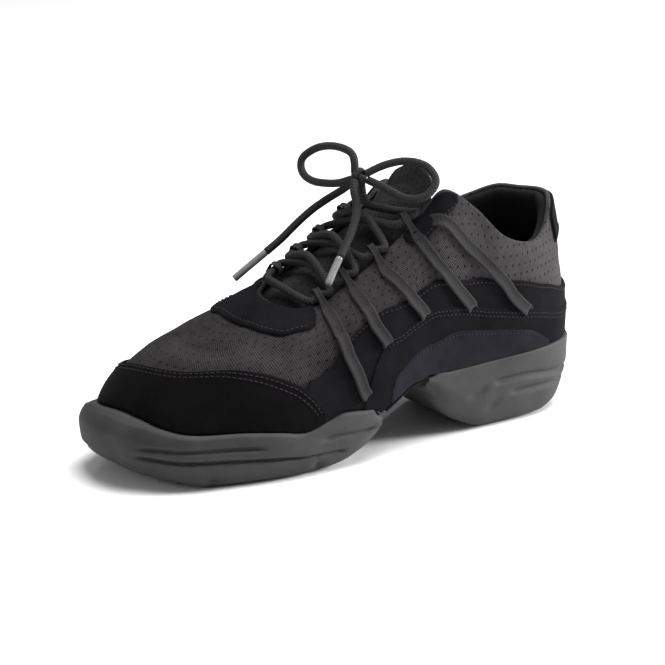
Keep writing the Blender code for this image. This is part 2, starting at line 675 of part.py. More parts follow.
def tongue():
    """Padded tongue that lies under the throat's edges and stands above them."""
    count = int((TOE_ROW - TONGUE_CORNERS[0]) * TONGUE_STATIONS_PER_ROW)
    steps = [k / TONGUE_STATIONS_PER_ROW for k in range(count + 1)]
    lateral = [TOE_ROW - step for step in steps]
    medial = [TOE_ROW + step for step in steps[1:]]
    seat = UPPER_WALL + TONGUE_SEAT
    along = np.array(TONGUE_RISE) / np.linalg.norm(TONGUE_RISE)
    rings = []
    for under, share in ((1, 1.0), (1, 0.92), (1, 0.84), (0, 0.84), (0, 0.92), (0, 1.0)):
        def edge(t, share=share):
            run = abs(t - TOE_ROW)
            thick = TONGUE_THICKNESS * min(1.0, 0.5 + 0.1 * run)
            spread = min(1.0, 0.3 + 0.5 * (TOE_ROW - TONGUE_CORNERS[0] - run))
            return lifted(t, 1.0 - (1.0 - share) * spread, -seat - under * thick)
        ring = [edge(t) for t in lateral]
        a, b = edge(TONGUE_CORNERS[0], 1.0), edge(TONGUE_CORNERS[1], 1.0)
        middle = (a + b) / 2
        lip = (1.0 - share) * TONGUE_LIP
        wide = 1.0 + 2 * lip / np.linalg.norm(b - a)
        tops = []
        for run, width in TONGUE_TOP_ROWS:
            tops.append((middle + (a - middle) * width * wide + (run + lip) * along,
                         middle + (b - middle) * width * wide + (run + lip) * along))
        ring += [pair[0] for pair in tops]
        ring.append(middle + (TONGUE_TOP_ROWS[-1][0] + 0.0015 + lip) * along)
        ring += [pair[1] for pair in reversed(tops)]
        ring += [edge(t) for t in reversed(medial)]
        rings.append(ring)
    size = len(rings[0])
    points = [p for ring in rings for p in ring]
    faces = ring_faces(len(rings), size, False)

    def crown(p, a, b, f):
        spread = min(1.0, np.linalg.norm(b - a) / TONGUE_CROWN_SPAN) ** 2
        return p[2] + TONGUE_CROWN * spread * math.sin(math.pi * f) ** 2

    ladder(points, faces, list(range(size)), crown)
    top = list(range((len(rings) - 1) * size, len(rings) * size))
    ladder(points, faces, top, crown)
    return new_object("tongue", points, faces, "mesh")


def arch_cover():
    """Plate that closes the arch between the two soles."""
    out_reach = PANEL_LIFT + SIDE_LAYER_THICKNESS
    stations = [ARCH_ROWS[0] + (ARCH_ROWS[1] - ARCH_ROWS[0]) * k / 4 for k in range(5)]
    points = []
    for t in stations:
        a = foot_point(t) + out_reach * outward(t)
        b = foot_point(ROW_COUNT - t) + out_reach * outward(ROW_COUNT - t)
        for drop, order in ((ARCH_DROP, (0, 1, 2, 3, 4)),
                            (ARCH_DROP + ARCH_PLATE_THICKNESS, (4, 3, 2, 1, 0))):
            for k in order:
                spot = a + (b - a) * k / 4
                spot[2] = footbed(spot[1]) - drop
                points.append(spot)
    size = 10
    faces = ring_faces(len(stations), size, False)
    last = (len(stations) - 1) * size
    for k in range(4):
        faces.append((k, k + 1, size - 2 - k, size - 1 - k))
        faces.append((last + size - 1 - k, last + size - 2 - k, last + k + 1, last + k))
    return new_object("arch_cover", points, faces, "side_layer")


def side_layers():
    """Thin lower panels of the arch, one on each side."""
    ends = (SIDE_LAYER_EDGE_FOLDED[0][0], SIDE_LAYER_EDGE_FOLDED[-1][0])
    mirrored = (ROW_COUNT - ends[1], ROW_COUNT - ends[0])
    layer = fold_edge(SIDE_LAYER_EDGE_FOLDED)
    for name, span in (("side_layer_lateral", ends), ("side_layer_medial", mirrored)):
        slab(name, span, lambda t: rim_share(t) + 0.004, layer, 3, "side_layer",
             thickness=SIDE_LAYER_THICKNESS)


def collar_lining():
    """Padded roll inside the collar, round the heel."""
    stations = [LINING_END * (k / 11 - 1) for k in range(23)]
    profile = ((0.62, 0.0), (0.78, 0.0), (0.985, 0.0), (0.995, 0.55), (0.93, 1.0), (0.78, 0.85),
               (0.62, 0.25))
    points = []
    for t in stations:
        fade = max(0.25, 1.0 - (abs(t) / LINING_END) ** 4)
        for share, depth in profile:
            inset = UPPER_WALL + LINING_GAP + depth * fade * LINING_THICKNESS
            points.append(lifted(t, share, -inset))
    size = len(profile)
    faces = ring_faces(len(stations), size, False)
    faces.append(tuple(range(size)))
    faces.append(tuple((len(stations) - 1) * size + i for i in reversed(range(size))))
    return new_object("collar_lining", points, faces, "lining")


def smooth_path(route, per_leg):
    """Points of a smooth curve through the route."""
    route = [np.array(p, dtype=float) for p in route]
    ends = [2 * route[0] - route[1]] + route + [2 * route[-1] - route[-2]]
    points = []
    for a, b, c, d in zip(ends, ends[1:], ends[2:], ends[3:]):
        for k in range(per_leg):
            f = k / per_leg
            points.append(b + 0.5 * f * (c - a + f * (2 * a - 5 * b + 4 * c - d
                                                      + f * (3 * (b - c) + d - a))))
    return points + [route[-1]]


def loop_frame(t):
    """Throat edge, climb direction, outward normal and the lace's middle in the loop."""
    edge = top_point(t)
    normal = shell_normal(t, 1.0)
    climb = edge - shell(t, 0.97)
    climb /= np.linalg.norm(climb)
    return edge, climb, normal, edge + LOOP_REACH * climb + LOOP_RISE * normal


def strap_lift(t, s):
    """How far a strap's middle stands off the upper, with a ramp onto the foxing."""
    on_mesh = STRAP_LIFT + STRAP_THICKNESS / 2
    on_suede = on_mesh + PANEL_LIFT + PANEL_SWELL + PANEL_THICKNESS
    edges = [table_value(FOXING_EDGE_FOLDED, folded(t) - shift) for shift in (0.0, 0.25)]
    above = s - max(edges)
    ramp = min(max((STRAP_RAMP[1] - above) / (STRAP_RAMP[1] - STRAP_RAMP[0]), 0.0), 1.0)
    return on_mesh + (on_suede - on_mesh) * ramp


def strap(name, rows, looped, side):
    """Webbing strap along (row position, height share) rows, with a lace loop on top."""
    path = [(p[0], p[1]) for p in smooth_path(rows, STRAP_STEPS)]
    spots = []
    if looped:
        edge, climb, normal, middle = loop_frame(side(path[0]))
        for k in range(7):
            angle = math.radians(-155 + k * 245 / 6)
            ray = math.cos(angle) * climb + math.sin(angle) * normal
            spots.append((middle + LOOP_RADIUS * ray, ray))
        spots.append((edge - 0.0006 * climb + 0.0034 * normal, normal))
        path = path[1:]
    for t, s in path:
        row = side((t, s))
        spots.append((lifted(row, s, strap_lift(t, s)), shell_normal(row, s)))
    points = []
    for k, (spot, normal) in enumerate(spots):
        before = spots[max(k - 1, 0)][0]
        after = spots[min(k + 1, len(spots) - 1)][0]
        across = np.cross(after - before, normal)
        across *= STRAP_WIDTH / 2 / np.linalg.norm(across)
        half = STRAP_THICKNESS / 2 * normal
        points += [spot - across - half, spot + across - half, spot + across + half,
                   spot - across + half]
    faces = ring_faces(len(spots), 4, False)
    last = 4 * (len(spots) - 1)
    faces += [(3, 2, 1, 0), (last, last + 1, last + 2, last + 3)]
    return new_object(name, points, faces, "webbing")


def straps():
    for number, (rows, medial_row) in enumerate(STRAP_ROWS, 1):
        looped = medial_row > 0
        strap(f"strap_lateral_{number}", rows, looped, lambda p: p[0])
        shift = ROW_COUNT - medial_row - rows[0][0] if looped else 0.0
        drop = rows[0][1] - rows[-1][1]
        strap(f"strap_medial_{number}", rows, looped,
              lambda p: ROW_COUNT - p[0] - shift * (p[1] - rows[-1][1]) / drop)


def tube(name, route, radius, per_leg, slot, sides=6):
    """Closed round bar along a smooth route."""
    spots = smooth_path(route, per_leg)
    across = np.array([0.0, 0.0, 1.0])
    points = []
    for k, spot in enumerate(spots):
        along = spots[min(k + 1, len(spots) - 1)] - spots[max(k - 1, 0)]
        along /= np.linalg.norm(along)
        across = across - across.dot(along) * along
        across /= np.linalg.norm(across)
        side = np.cross(along, across)
        for j in range(sides):
            angle = 2 * math.pi * j / sides
            points.append(spot + radius * (math.cos(angle) * across + math.sin(angle) * side))
    faces = ring_faces(len(spots), sides, False)
    faces.append(tuple(reversed(range(sides))))
    faces.append(tuple(range((len(spots) - 1) * sides, len(spots) * sides)))
    return new_object(name, points, faces, slot)


def through_loop(t, toward_ankle):
    """Three lace points through the loop at t, from its ankle end to its toe end."""
    edge, climb, normal, middle = loop_frame(t)
    axis = np.cross(normal, climb)
    axis *= LOOP_LACE_RUN * (1 if axis[1] > 0 else -1) / np.linalg.norm(axis)
    points = [middle + axis, middle, middle - axis]
    return points if toward_ankle else points[::-1]


def lace_bars():
    """Laced part: one lace zigzags up through the loops and crosses itself."""
    lateral = [rows[0][0] for rows, medial_row in STRAP_ROWS if medial_row > 0]
    medial = [medial_row for rows, medial_row in STRAP_ROWS if medial_row > 0]
    crossings = []
    for k in range(3):
        group = [loop_frame(t)[3] for t in lateral[k:k + 2] + medial[k:k + 2]]
        crossings.append(sum(group) / 4 + np.array([0.0, 0.0, LACE_CROSSING_RISE]))

    def half(first, second, top_route):
        """Laced half whose top loop is in the first row of loops."""
        route = list(top_route)
        rows = (first, second)
        for k in (3, 2, 1, 0):
            route += through_loop(rows[(3 - k) % 2][k], True)
            if k:
                route.append(crossings[k - 1])
        return route + [np.array(LACE_BAR_MIDDLE)]

    first = tube("lace_bars", half(lateral, medial, LATERAL_TOP_ROUTE), LACE_RADIUS, 1, "lace")
    second = tube("lace_bars_half", half(medial, lateral, MEDIAL_TOP_ROUTE), LACE_RADIUS, 1,
                  "lace")
    second.display_type = "WIRE"
    second.hide_render = True
    join = first.modifiers.new("Second half", "BOOLEAN")
    join.operation = "UNION"
    join.solver = "EXACT"
    join.object = second
    return first


def cord(name, route, per_leg):
    """Free lace as a round cord along a smooth route."""
    spots = smooth_path([np.array(p) / 1000 for p in route], per_leg)
    curve = bpy.data.curves.new(name, "CURVE")
    curve.dimensions = "3D"
    curve.bevel_depth = LACE_RADIUS
    curve.bevel_resolution = 2
    curve.use_fill_caps = True
    line = curve.splines.new("POLY")
    line.points.add(len(spots) - 1)
    for point, spot in zip(line.points, spots):
        point.co = (*spot, 1.0)
    *color, roughness = MATERIALS["lace"]
    curve.materials.append(material(name + "_lace", color, roughness))
    part = bpy.data.objects.new(name, curve)
    bpy.context.scene.collection.objects.link(part)
    return part


def knot():
    """Wrap of the bow, a short coil round the line from loop to loop."""
    middle = np.array(KNOT_MIDDLE)
    axis = np.array(KNOT_AXIS) / np.linalg.norm(KNOT_AXIS)
    up = np.array([0.0, 0.0, 1.0]) - axis[2] * axis
    up /= np.linalg.norm(up)
    side = np.cross(axis, up)
    route = []
    for k in range(11):
        angle = math.radians(20 * k - 10)
        route.append(middle + KNOT_RADIUS * (math.cos(angle) * side + math.sin(angle) * up))
    return cord("lace_knot", route, 1)


def bow():
    knot()
    for name, route in BOW_ROUTES.items():
        cord(name, route, 1)
    for name, route in AGLET_ROUTES.items():
        tube(name, [np.array(p) / 1000 for p in route], AGLET_DIAMETER / 2, 1, "aglet", 8)


def clear_scene():
    for old in list(bpy.data.objects):
        bpy.data.objects.remove(old, do_unlink=True)


def build():
    clear_scene()
    fore_sole()
    heel_sole()
    upper()
    insole()
    tongue()
    toe_cap()
    eyestay()
    foxing()
    side_band()
    heel_tab()
    throat_corners()
    side_layers()
    arch_cover()
    collar_lining()
    straps()
    lace_bars()
    bow()


build()
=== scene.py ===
# %% [markdown]
# # A split-sole dance sneaker
# The shoe is dressed around its CAD solids. Cloth, suede and webbing are thin sheets
# that follow one last, the foot-shaped form that a shoemaker pulls a shoe over, so
# every sheet here starts as a flat grid and is laid on that last.

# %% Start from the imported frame
import math
from functools import lru_cache

import bpy
import numpy as np
from mathutils import Matrix, Vector


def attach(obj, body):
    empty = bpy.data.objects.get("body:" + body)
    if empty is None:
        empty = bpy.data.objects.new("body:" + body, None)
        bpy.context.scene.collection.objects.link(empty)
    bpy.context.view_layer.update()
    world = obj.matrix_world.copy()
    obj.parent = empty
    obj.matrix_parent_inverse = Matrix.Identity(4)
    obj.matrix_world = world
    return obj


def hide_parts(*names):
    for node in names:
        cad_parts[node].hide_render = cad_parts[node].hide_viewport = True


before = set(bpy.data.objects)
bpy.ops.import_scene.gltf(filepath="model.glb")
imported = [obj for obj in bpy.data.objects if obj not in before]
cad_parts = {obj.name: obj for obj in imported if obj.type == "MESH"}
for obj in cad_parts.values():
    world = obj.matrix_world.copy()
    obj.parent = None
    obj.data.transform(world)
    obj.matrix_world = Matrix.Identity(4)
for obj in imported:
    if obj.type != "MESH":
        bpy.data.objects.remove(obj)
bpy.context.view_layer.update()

# %% [markdown]
# The camera stands where the photographer stood: in front of the outer side, a
# little above the shoe, with a long lens. It comes before everything else.

# %% Camera
CAMERA_AZIMUTH = math.radians(56.0)
CAMERA_ELEVATION = math.radians(16.3)
CAMERA_ROLL = math.radians(-0.27)
CAMERA_DISTANCE = 1.2
CAMERA_TARGET = Vector((0.0, 0.0, 0.05))
FRAME_PIXELS = 665
FOCAL_PIXELS = 2550
LENS_MIDDLE_PIXELS = (340.0, 331.4)
SENSOR_MM = 36.0

away = Vector((math.sin(CAMERA_AZIMUTH) * math.cos(CAMERA_ELEVATION),
               -math.cos(CAMERA_AZIMUTH) * math.cos(CAMERA_ELEVATION),
               math.sin(CAMERA_ELEVATION)))
level_right = Vector((math.cos(CAMERA_AZIMUTH), math.sin(CAMERA_AZIMUTH), 0.0))
level_up = away.cross(level_right)
right = level_right * math.cos(CAMERA_ROLL) - level_up * math.sin(CAMERA_ROLL)
up = level_right * math.sin(CAMERA_ROLL) + level_up * math.cos(CAMERA_ROLL)
bpy.ops.object.camera_add()
camera = bpy.context.active_object
camera.name = "Camera"
camera.matrix_world = Matrix.Translation(CAMERA_TARGET + CAMERA_DISTANCE * away) @ Matrix(
    (right, up, away)).transposed().to_4x4()
camera.data.sensor_width = SENSOR_MM
camera.data.lens = FOCAL_PIXELS / FRAME_PIXELS * SENSOR_MM
camera.data.shift_x = (FRAME_PIXELS / 2 - LENS_MIDDLE_PIXELS[0]) / FRAME_PIXELS
camera.data.shift_y = (LENS_MIDDLE_PIXELS[1] - FRAME_PIXELS / 2) / FRAME_PIXELS
bpy.context.scene.camera = camera
bpy.context.scene.view_settings.view_transform = "Standard"
print("lens", round(camera.data.lens, 1), "mm")

# %% [markdown]
# Small helpers for nodes. A material is a tree of nodes, and most of its steps are
# a sum or a product, so one call adds a node, sets it and links what feeds it.


# %% Node helpers
def add_node(tree, kind, links=(), **settings):
    item = tree.nodes.new(kind)
    for key, value in settings.items():
        setattr(item, key, value)
    for socket, source in links:
        if isinstance(source, bpy.types.NodeSocket):
            tree.links.new(source, item.inputs[socket])
        else:
            item.inputs[socket].default_value = source
    return item


def math_node(tree, operation, a, b=0.0, c=0.0):
    return add_node(tree, "ShaderNodeMath", ((0, a), (1, b), (2, c)),
                    operation=operation).outputs[0]


def times(tree, a, b):
    return math_node(tree, "MULTIPLY", a, b)


def noise(tree, place, scale, detail, roughness=0.5):
    return add_node(tree, "ShaderNodeTexNoise", (
        ("Vector", place), ("Scale", scale), ("Detail", detail),
        ("Roughness", roughness))).outputs["Fac"]


def split(tree, vector):
    return add_node(tree, "ShaderNodeSeparateXYZ", ((0, vector),)).outputs


def blend_colors(tree, share, low, high):
    colors = [color if isinstance(color, bpy.types.NodeSocket) else (*color, 1.0)
              for color in (low, high)]
    return add_node(tree, "ShaderNodeMix", zip((0, 6, 7), (share, *colors)),
                    data_type="RGBA").outputs[2]


def map_range(tree, value, low, high, to_low=0.0, to_high=1.0):
    return add_node(tree, "ShaderNodeMapRange",
                    enumerate((value, low, high, to_low, to_high))).outputs[0]


def new_group(name, inputs, outputs):
    """Node group with named sockets; returns it with its input and output sockets."""
    group = bpy.data.node_groups.new(name, "ShaderNodeTree")
    for sockets, direction in ((inputs, "INPUT"), (outputs, "OUTPUT")):
        for socket in sockets:
            kind = "NodeSocketVector" if socket == "Vector" else "NodeSocketFloat"
            group.interface.new_socket(socket, in_out=direction, socket_type=kind)
    return (group, group.nodes.new("NodeGroupInput").outputs,
            group.nodes.new("NodeGroupOutput").inputs)


# %% [markdown]
# Woven cloth is threads that pass over and under each other. Two sine waves that
# multiply give the little hills of the threads, and a wider grid of dots gives the
# open holes of a sport mesh. The group is built once and used for every cloth.

# %% Woven cloth group
woven, source, result = new_group("woven threads", ("Vector", "Thread", "Hole Pitch", "Hole Size"),
                                  ("Height", "Hole", "Tone"))
axes = split(woven, source["Vector"])
waves = [math_node(woven, "SINE", times(woven, math_node(
    woven, "DIVIDE", axes[k], source["Thread"]), math.pi)) for k in (0, 1)]
threads = math_node(woven, "MULTIPLY_ADD", times(woven, *waves), 0.5, 0.5)
cell_x, cell_y = (math_node(woven, "DIVIDE", axes[k], source["Hole Pitch"]) for k in (0, 1))
shift = times(woven, math_node(woven, "FLOOR", cell_y), 0.5)
offsets = [math_node(woven, "POWER", math_node(woven, "SUBTRACT", math_node(
    woven, "FRACT", cell), 0.5), 2.0)
    for cell in (math_node(woven, "ADD", cell_x, shift), cell_y)]
from_hole = math_node(woven, "SQRT", math_node(woven, "ADD", *offsets))
holes = map_range(woven, math_node(woven, "SUBTRACT", from_hole, source["Hole Size"]),
                  0.0, 0.10, 1.0, 0.0)
tones = noise(woven, source["Vector"], 260.0, 3.0)
for socket, value in zip(("Height", "Hole", "Tone"), (threads, holes, tones)):
    woven.links.new(value, result[socket])
print("woven cloth group with", len(woven.nodes), "nodes")

# %% [markdown]
# Suede is leather with its fibres brushed up. It drinks the light, and its nap lies
# in soft patches, so two sizes of noise give its tone and its tiny bumps.

# %% Brushed nap group
nap, source, result = new_group("brushed nap", ("Vector", "Patch Scale"), ("Tone", "Height"))
patches = noise(nap, source["Vector"], source["Patch Scale"], 5.0, 0.6)
fibres = noise(nap, source["Vector"], 1900.0, 4.0, 0.75)
nap.links.new(math_node(nap, "MULTIPLY_ADD", fibres, 0.45, times(nap, patches, 0.55)),
              result["Tone"])
nap.links.new(fibres, result["Height"])
print("nap group with", len(nap.nodes), "nodes")

# %% [markdown]
# Dust and rubbing make a black shoe a little paler in broad, soft areas. This group
# gives one mask that every finish mixes in by its own amount.

# %% Dust group
dust, source, result = new_group("soft dust", ("Vector",), ("Dust",))
dust.links.new(map_range(dust, noise(dust, source["Vector"], 38.0, 6.0, 0.62), 0.42, 0.72),
               result["Dust"])
print("dust group with", len(dust.nodes), "nodes")


# %% [markdown]
# Each finish starts with the same few nodes: the surface's own UV map, which is in
# metres here, its place in the object, and the dust mask. It ends with the dust mixed
# into its colour, and with its relief as a bump.


# %% Start and end of a finish
def start_finish(name, roughness, sheen=0.0, sheen_roughness=0.5, specular=0.5):
    """New material with its node tree, shader, texture places and dust mask."""
    finish = bpy.data.materials.new(name)
    finish.use_nodes = True
    tree = finish.node_tree
    shader = tree.nodes["Principled BSDF"]
    for socket, value in (("Roughness", roughness), ("Sheen Weight", sheen),
                          ("Sheen Roughness", sheen_roughness),
                          ("Specular IOR Level", specular)):
        shader.inputs[socket].default_value = value
    place = add_node(tree, "ShaderNodeTexCoord").outputs
    mask = add_node(tree, "ShaderNodeGroup", ((0, place["Object"]),), node_tree=dust).outputs[0]
    return finish, tree, shader, place, mask


def end_finish(tree, shader, share, base, pale, height, strength, distance):
    """Base colour with a share of a paler one, and the height as a bump."""
    tree.links.new(blend_colors(tree, share, base, pale), shader.inputs["Base Color"])
    bump = add_node(tree, "ShaderNodeBump", (("Height", height), ("Strength", strength),
                                             ("Distance", distance)))
    tree.links.new(bump.outputs[0], shader.inputs["Normal"])


def cloth_finish(name, thread, gap, pitch, hole_pitch, hole_size, depth=0.0005, painted_toe_shade=False):
    """Woven cloth: thread and gap are its two colours, the rest is in metres."""
    finish, tree, shader, place, mask = start_finish(name, 0.92, 0.02, 0.4, 0.10)
    cloth = add_node(tree, "ShaderNodeGroup", (
        (0, place["UV"]), (1, pitch), (2, hole_pitch), (3, hole_size)), node_tree=woven).outputs
    lit = times(tree, map_range(tree, cloth["Height"], 0.15, 0.85),
                math_node(tree, "SUBTRACT", 1.0, cloth["Hole"]))
    tone = map_range(tree, cloth["Tone"], 0.3, 0.7, 0.75, 1.15)
    base = blend_colors(tree, times(tree, lit, tone), gap, thread)
    # painted shade: towards the toe the cloth is blended into its gap colour, as the light falls
    # from the heel's side
    if painted_toe_shade:
        toe_shade_share = map_range(tree, split(tree, place["Object"])[1], -0.08, 0.12, 0.66, 0.0)
        base = blend_colors(tree, toe_shade_share, base, gap)
    pale = tuple(1.35 * value + 0.004 for value in thread)
    end_finish(tree, shader, times(tree, mask, 0.15), base, pale, lit, 0.55, depth)
    return finish


def suede_finish(name, dark, light, patch_scale):
    finish, tree, shader, place, mask = start_finish(name, 0.97, 0.015, 0.4, 0.04)
    fur = add_node(tree, "ShaderNodeGroup", ((0, place["Object"]), (1, patch_scale)),
                   node_tree=nap).outputs
    base = blend_colors(tree, map_range(tree, fur["Tone"], 0.35, 0.65), dark, light)
    pale = tuple(1.6 * value + 0.004 for value in light)
    end_finish(tree, shader, times(tree, mask, 0.2), base, pale, fur["Height"], 0.5, 0.0003)
    return finish


# %% [markdown]
# The laces' finish is a round braid. Along the cord its strands cross at a steady
# angle, so two slanted waves in the cord's own UV map give the herring-bone relief.

# %% Lace, aglet and webbing finishes
def slanted_wave(tree, place, along_pitch, across_count):
    """Wave across a strip at a slant; the sign of across_count is its lean."""
    parts = split(tree, place["UV"])
    turn = times(tree, math_node(tree, "ADD", times(tree, parts[0], across_count), math_node(
        tree, "DIVIDE", parts[1], along_pitch)), 2 * math.pi)
    return math_node(tree, "MULTIPLY_ADD", math_node(tree, "SINE", turn), 0.5, 0.5)


def braid_finish(name, dark, light, along_pitch, across_count, roughness, depth):
    finish, tree, shader, place, mask = start_finish(name, roughness, 0.02, 0.4, 0.18)
    braid = math_node(tree, "MAXIMUM", *(slanted_wave(tree, place, along_pitch, count)
                                         for count in (across_count, -across_count)))
    relief = map_range(tree, braid, 0.35, 1.0)
    pale = tuple(1.5 * value for value in light)
    end_finish(tree, shader, times(tree, mask, 0.2), blend_colors(tree, relief, dark, light),
               pale, relief, 0.6, depth)
    return finish


lace_finish = braid_finish("braided lace", (0.006, 0.0056, 0.0056), (0.020, 0.0188, 0.0188),
                           0.0014, 335.0, 0.72, 0.0003)
webbing_finish = braid_finish("ribbed webbing", (0.007, 0.0064, 0.0064),
                              (0.024, 0.0222, 0.0222), 0.0010, 700.0, 0.80, 0.0002)

aglet_finish, tree, shader, place = start_finish("clear plastic tip", 0.32, specular=0.6)[:4]
streaks = noise(tree, place["Object"], 420.0, 3.0)
end_finish(tree, shader, streaks, (0.085, 0.082, 0.082), (0.20, 0.195, 0.195), streaks,
           0.2, 0.0002)
print("lace, webbing and tip finishes")

# %% [markdown]
# ## The last
# A last is measured in rows. Each row is a line that climbs from the feather edge,
# where upper and sole meet, to the topline. Two numbers then name any place on the
# shoe: the row position, and the share of the way up. These are the same rows as in
# the part's source, because a dressed sheet has to lie on the solid.

# %% Rows of the last
# driving sizes, in metres like every length below that isn't called a share
LENGTH = 0.264
HALF_WIDTH = 0.097 / 2
TAB_HEIGHT = 0.104
UPPER_WALL = 0.0022
CLEARANCE = 0.0003
TOE_ROW = 14
# one row per line, from the heel round the lateral side to the toe and back: foot
# station (0 toe, 1 heel, share of LENGTH), foot side (share of HALF_WIDTH), top
# station, top side, top height (share of TAB_HEIGHT), then how far the wall rises and
# leans out of the foot line, and reaches out and drops below the topline (shares of
# TAB_HEIGHT)
LAST_ROWS = (
    # heel back
    (0.972, 0.00, 0.953, 0.00, 1.000, 0.29, 0.04, 0.06, 0.24),
    (0.950, 0.34, 0.932, 0.26, 0.985, 0.27, 0.03, 0.05, 0.24),
    (0.903, 0.52, 0.895, 0.44, 0.865, 0.24, 0.03, 0.05, 0.19),
    (0.833, 0.61, 0.837, 0.63, 0.838, 0.23, 0.04, 0.02, 0.19),
    (0.739, 0.64, 0.769, 0.68, 0.895, 0.23, 0.04, 0.02, 0.21),
    (0.652, 0.68, 0.712, 0.61, 1.040, 0.23, 0.04, 0.04, 0.23),
    # outer shank
    (0.568, 0.74, 0.657, 0.50, 1.130, 0.25, 0.04, 0.10, 0.23),
    (0.500, 0.81, 0.608, 0.44, 1.010, 0.27, 0.03, 0.15, 0.15),
    (0.432, 0.86, 0.545, 0.42, 0.880, 0.27, 0.03, 0.19, 0.12),
    (0.360, 0.87, 0.477, 0.39, 0.769, 0.27, 0.03, 0.19, 0.09),
    # outer ball
    (0.280, 0.865, 0.417, 0.35, 0.680, 0.26, 0.03, 0.18, 0.06),
    (0.189, 0.77, 0.375, 0.26, 0.660, 0.26, 0.03, 0.21, 0.06),
    (0.110, 0.62, 0.356, 0.12, 0.670, 0.26, 0.03, 0.29, 0.09),
    (0.053, 0.29, 0.350, 0.02, 0.680, 0.29, 0.04, 0.40, 0.14),
    # toe
    (0.036, -0.15, 0.348, -0.08, 0.690, 0.33, 0.04, 0.43, 0.14),
    (0.062, -0.53, 0.352, -0.19, 0.695, 0.305, 0.04, 0.36, 0.13),
    (0.120, -0.77, 0.367, -0.29, 0.710, 0.265, 0.03, 0.23, 0.10),
    (0.195, -0.87, 0.402, -0.37, 0.740, 0.25, 0.03, 0.17, 0.09),
    # inner ball
    (0.280, -0.885, 0.455, -0.41, 0.800, 0.27, 0.03, 0.15, 0.10),
    (0.360, -0.82, 0.508, -0.44, 0.865, 0.27, 0.03, 0.14, 0.10),
    (0.443, -0.74, 0.561, -0.46, 0.933, 0.26, 0.03, 0.13, 0.13),
    (0.515, -0.66, 0.617, -0.49, 1.019, 0.26, 0.03, 0.11, 0.17),
    # inner shank
    (0.580, -0.60, 0.663, -0.54, 1.087, 0.25, 0.03, 0.08, 0.23),
    (0.652, -0.58, 0.708, -0.62, 1.000, 0.23, 0.04, 0.04, 0.23),
    (0.739, -0.59, 0.780, -0.66, 0.904, 0.23, 0.04, 0.02, 0.21),
    (0.833, -0.58, 0.856, -0.63, 0.942, 0.23, 0.04, 0.02, 0.19),
    (0.905, -0.50, 0.909, -0.49, 0.990, 0.24, 0.04, 0.05, 0.19),
    (0.955, -0.33, 0.936, -0.27, 0.995, 0.27, 0.04, 0.06, 0.24),
)
ROW_COUNT = len(LAST_ROWS)
# station, footbed height as a share of TAB_HEIGHT
FOOTBED_ROWS = (
    (0.00, 0.154), (0.12, 0.139), (0.27, 0.125), (0.39, 0.135), (0.455, 0.183),
    (0.515, 0.260), (0.576, 0.315), (0.636, 0.305), (0.71, 0.268), (0.84, 0.260),
    (1.00, 0.269),
)
# station, height of the outsole's underside as a share of TAB_HEIGHT
FORE_GROUND_ROWS = (
    (-0.05, 0.16), (0.00, 0.105), (0.045, 0.062), (0.10, 0.022), (0.155, 0.0), (0.355, 0.0),
    (0.395, 0.012), (0.435, 0.045), (0.47, 0.092), (0.50, 0.145), (0.55, 0.22),
)
HEEL_GROUND_ROWS = (
    (0.56, 0.29), (0.602, 0.235), (0.625, 0.165), (0.65, 0.10), (0.69, 0.040), (0.735, 0.0),
    (0.875, 0.0), (0.915, 0.020), (0.955, 0.075), (0.985, 0.145), (1.02, 0.24),
)

# side wall of each sole: last row, rim height (share of TAB_HEIGHT), then how far the
# wall stands out of the foot line at the ground, halfway and at the rim
FORE_WALL_ROWS = (
    (7.0, 0.225, 0.0006, 0.0036, 0.0024),
    (7.8, 0.245, 0.0010, 0.0042, 0.0028),
    (8.6, 0.258, 0.0010, 0.0045, 0.0030),
    (9.0, 0.235, 0.0010, 0.0045, 0.0028),
    (9.6, 0.202, 0.0010, 0.0046, 0.0026),
    (10.2, 0.222, 0.0010, 0.0046, 0.0028),
    (11.0, 0.242, 0.0012, 0.0048, 0.0032),
    (12.0, 0.250, 0.0022, 0.0056, 0.0038),
    (12.6, 0.275, 0.0030, 0.0060, 0.0042),
    (13.1, 0.305, 0.0040, 0.0066, 0.0046),
    (13.6, 0.318, 0.0050, 0.0072, 0.0048),
    (14.4, 0.300, 0.0056, 0.0072, 0.0048),
    (15.0, 0.275, 0.0054, 0.0070, 0.0042),
    (16.0, 0.250, 0.0030, 0.0052, 0.0034),
    (17.0, 0.240, 0.0018, 0.0046, 0.0030),
    (18.0, 0.225, 0.0016, 0.0044, 0.0028),
    (19.0, 0.238, 0.0014, 0.0042, 0.0026),
    (21.0, 0.235, 0.0008, 0.0036, 0.0024),
)
HEEL_WALL_ROWS = (
    (-6.0, 0.325, 0.0004, 0.0028, 0.0024),
    (-5.0, 0.320, 0.0008, 0.0032, 0.0026),
    (-3.0, 0.328, 0.0010, 0.0036, 0.0028),
    (-1.0, 0.335, 0.0010, 0.0040, 0.0032),
    (0.0, 0.340, 0.0010, 0.0042, 0.0034),
    (1.0, 0.336, 0.0010, 0.0040, 0.0032),
    (3.0, 0.330, 0.0010, 0.0036, 0.0028),
    (5.0, 0.318, 0.0008, 0.0032, 0.0026),
    (6.0, 0.325, 0.0004, 0.0028, 0.0024),
)
# last rows at which each sole ends, and the lowest height of its rim over the foot line
FORE_CORNERS = (7.333333, 20.666667)
HEEL_CORNERS = (5.666667, 22.333333)
RIM_MINIMUM = 0.0015
LINING_THICKNESS = 0.0045
STRAP_THICKNESS = 0.0011
PANEL_LIFT = 0.00035
PANEL_SWELL = 0.0002
PANEL_THICKNESS = 0.0012
EDGE_RADIUS = 0.0038
INSOLE_THICKNESS = 0.0035
TONGUE_THICKNESS = 0.0040
EDGE_END = 0.992
BAND_FRONT_ROW = 8.0
CAP_ROWS = (9.1, 18.9)
EYESTAY_ROWS = (10.3, 16.4)
FOXING_FRONT_ROW = 9.9
INSOLE_SEAT = 0.0006

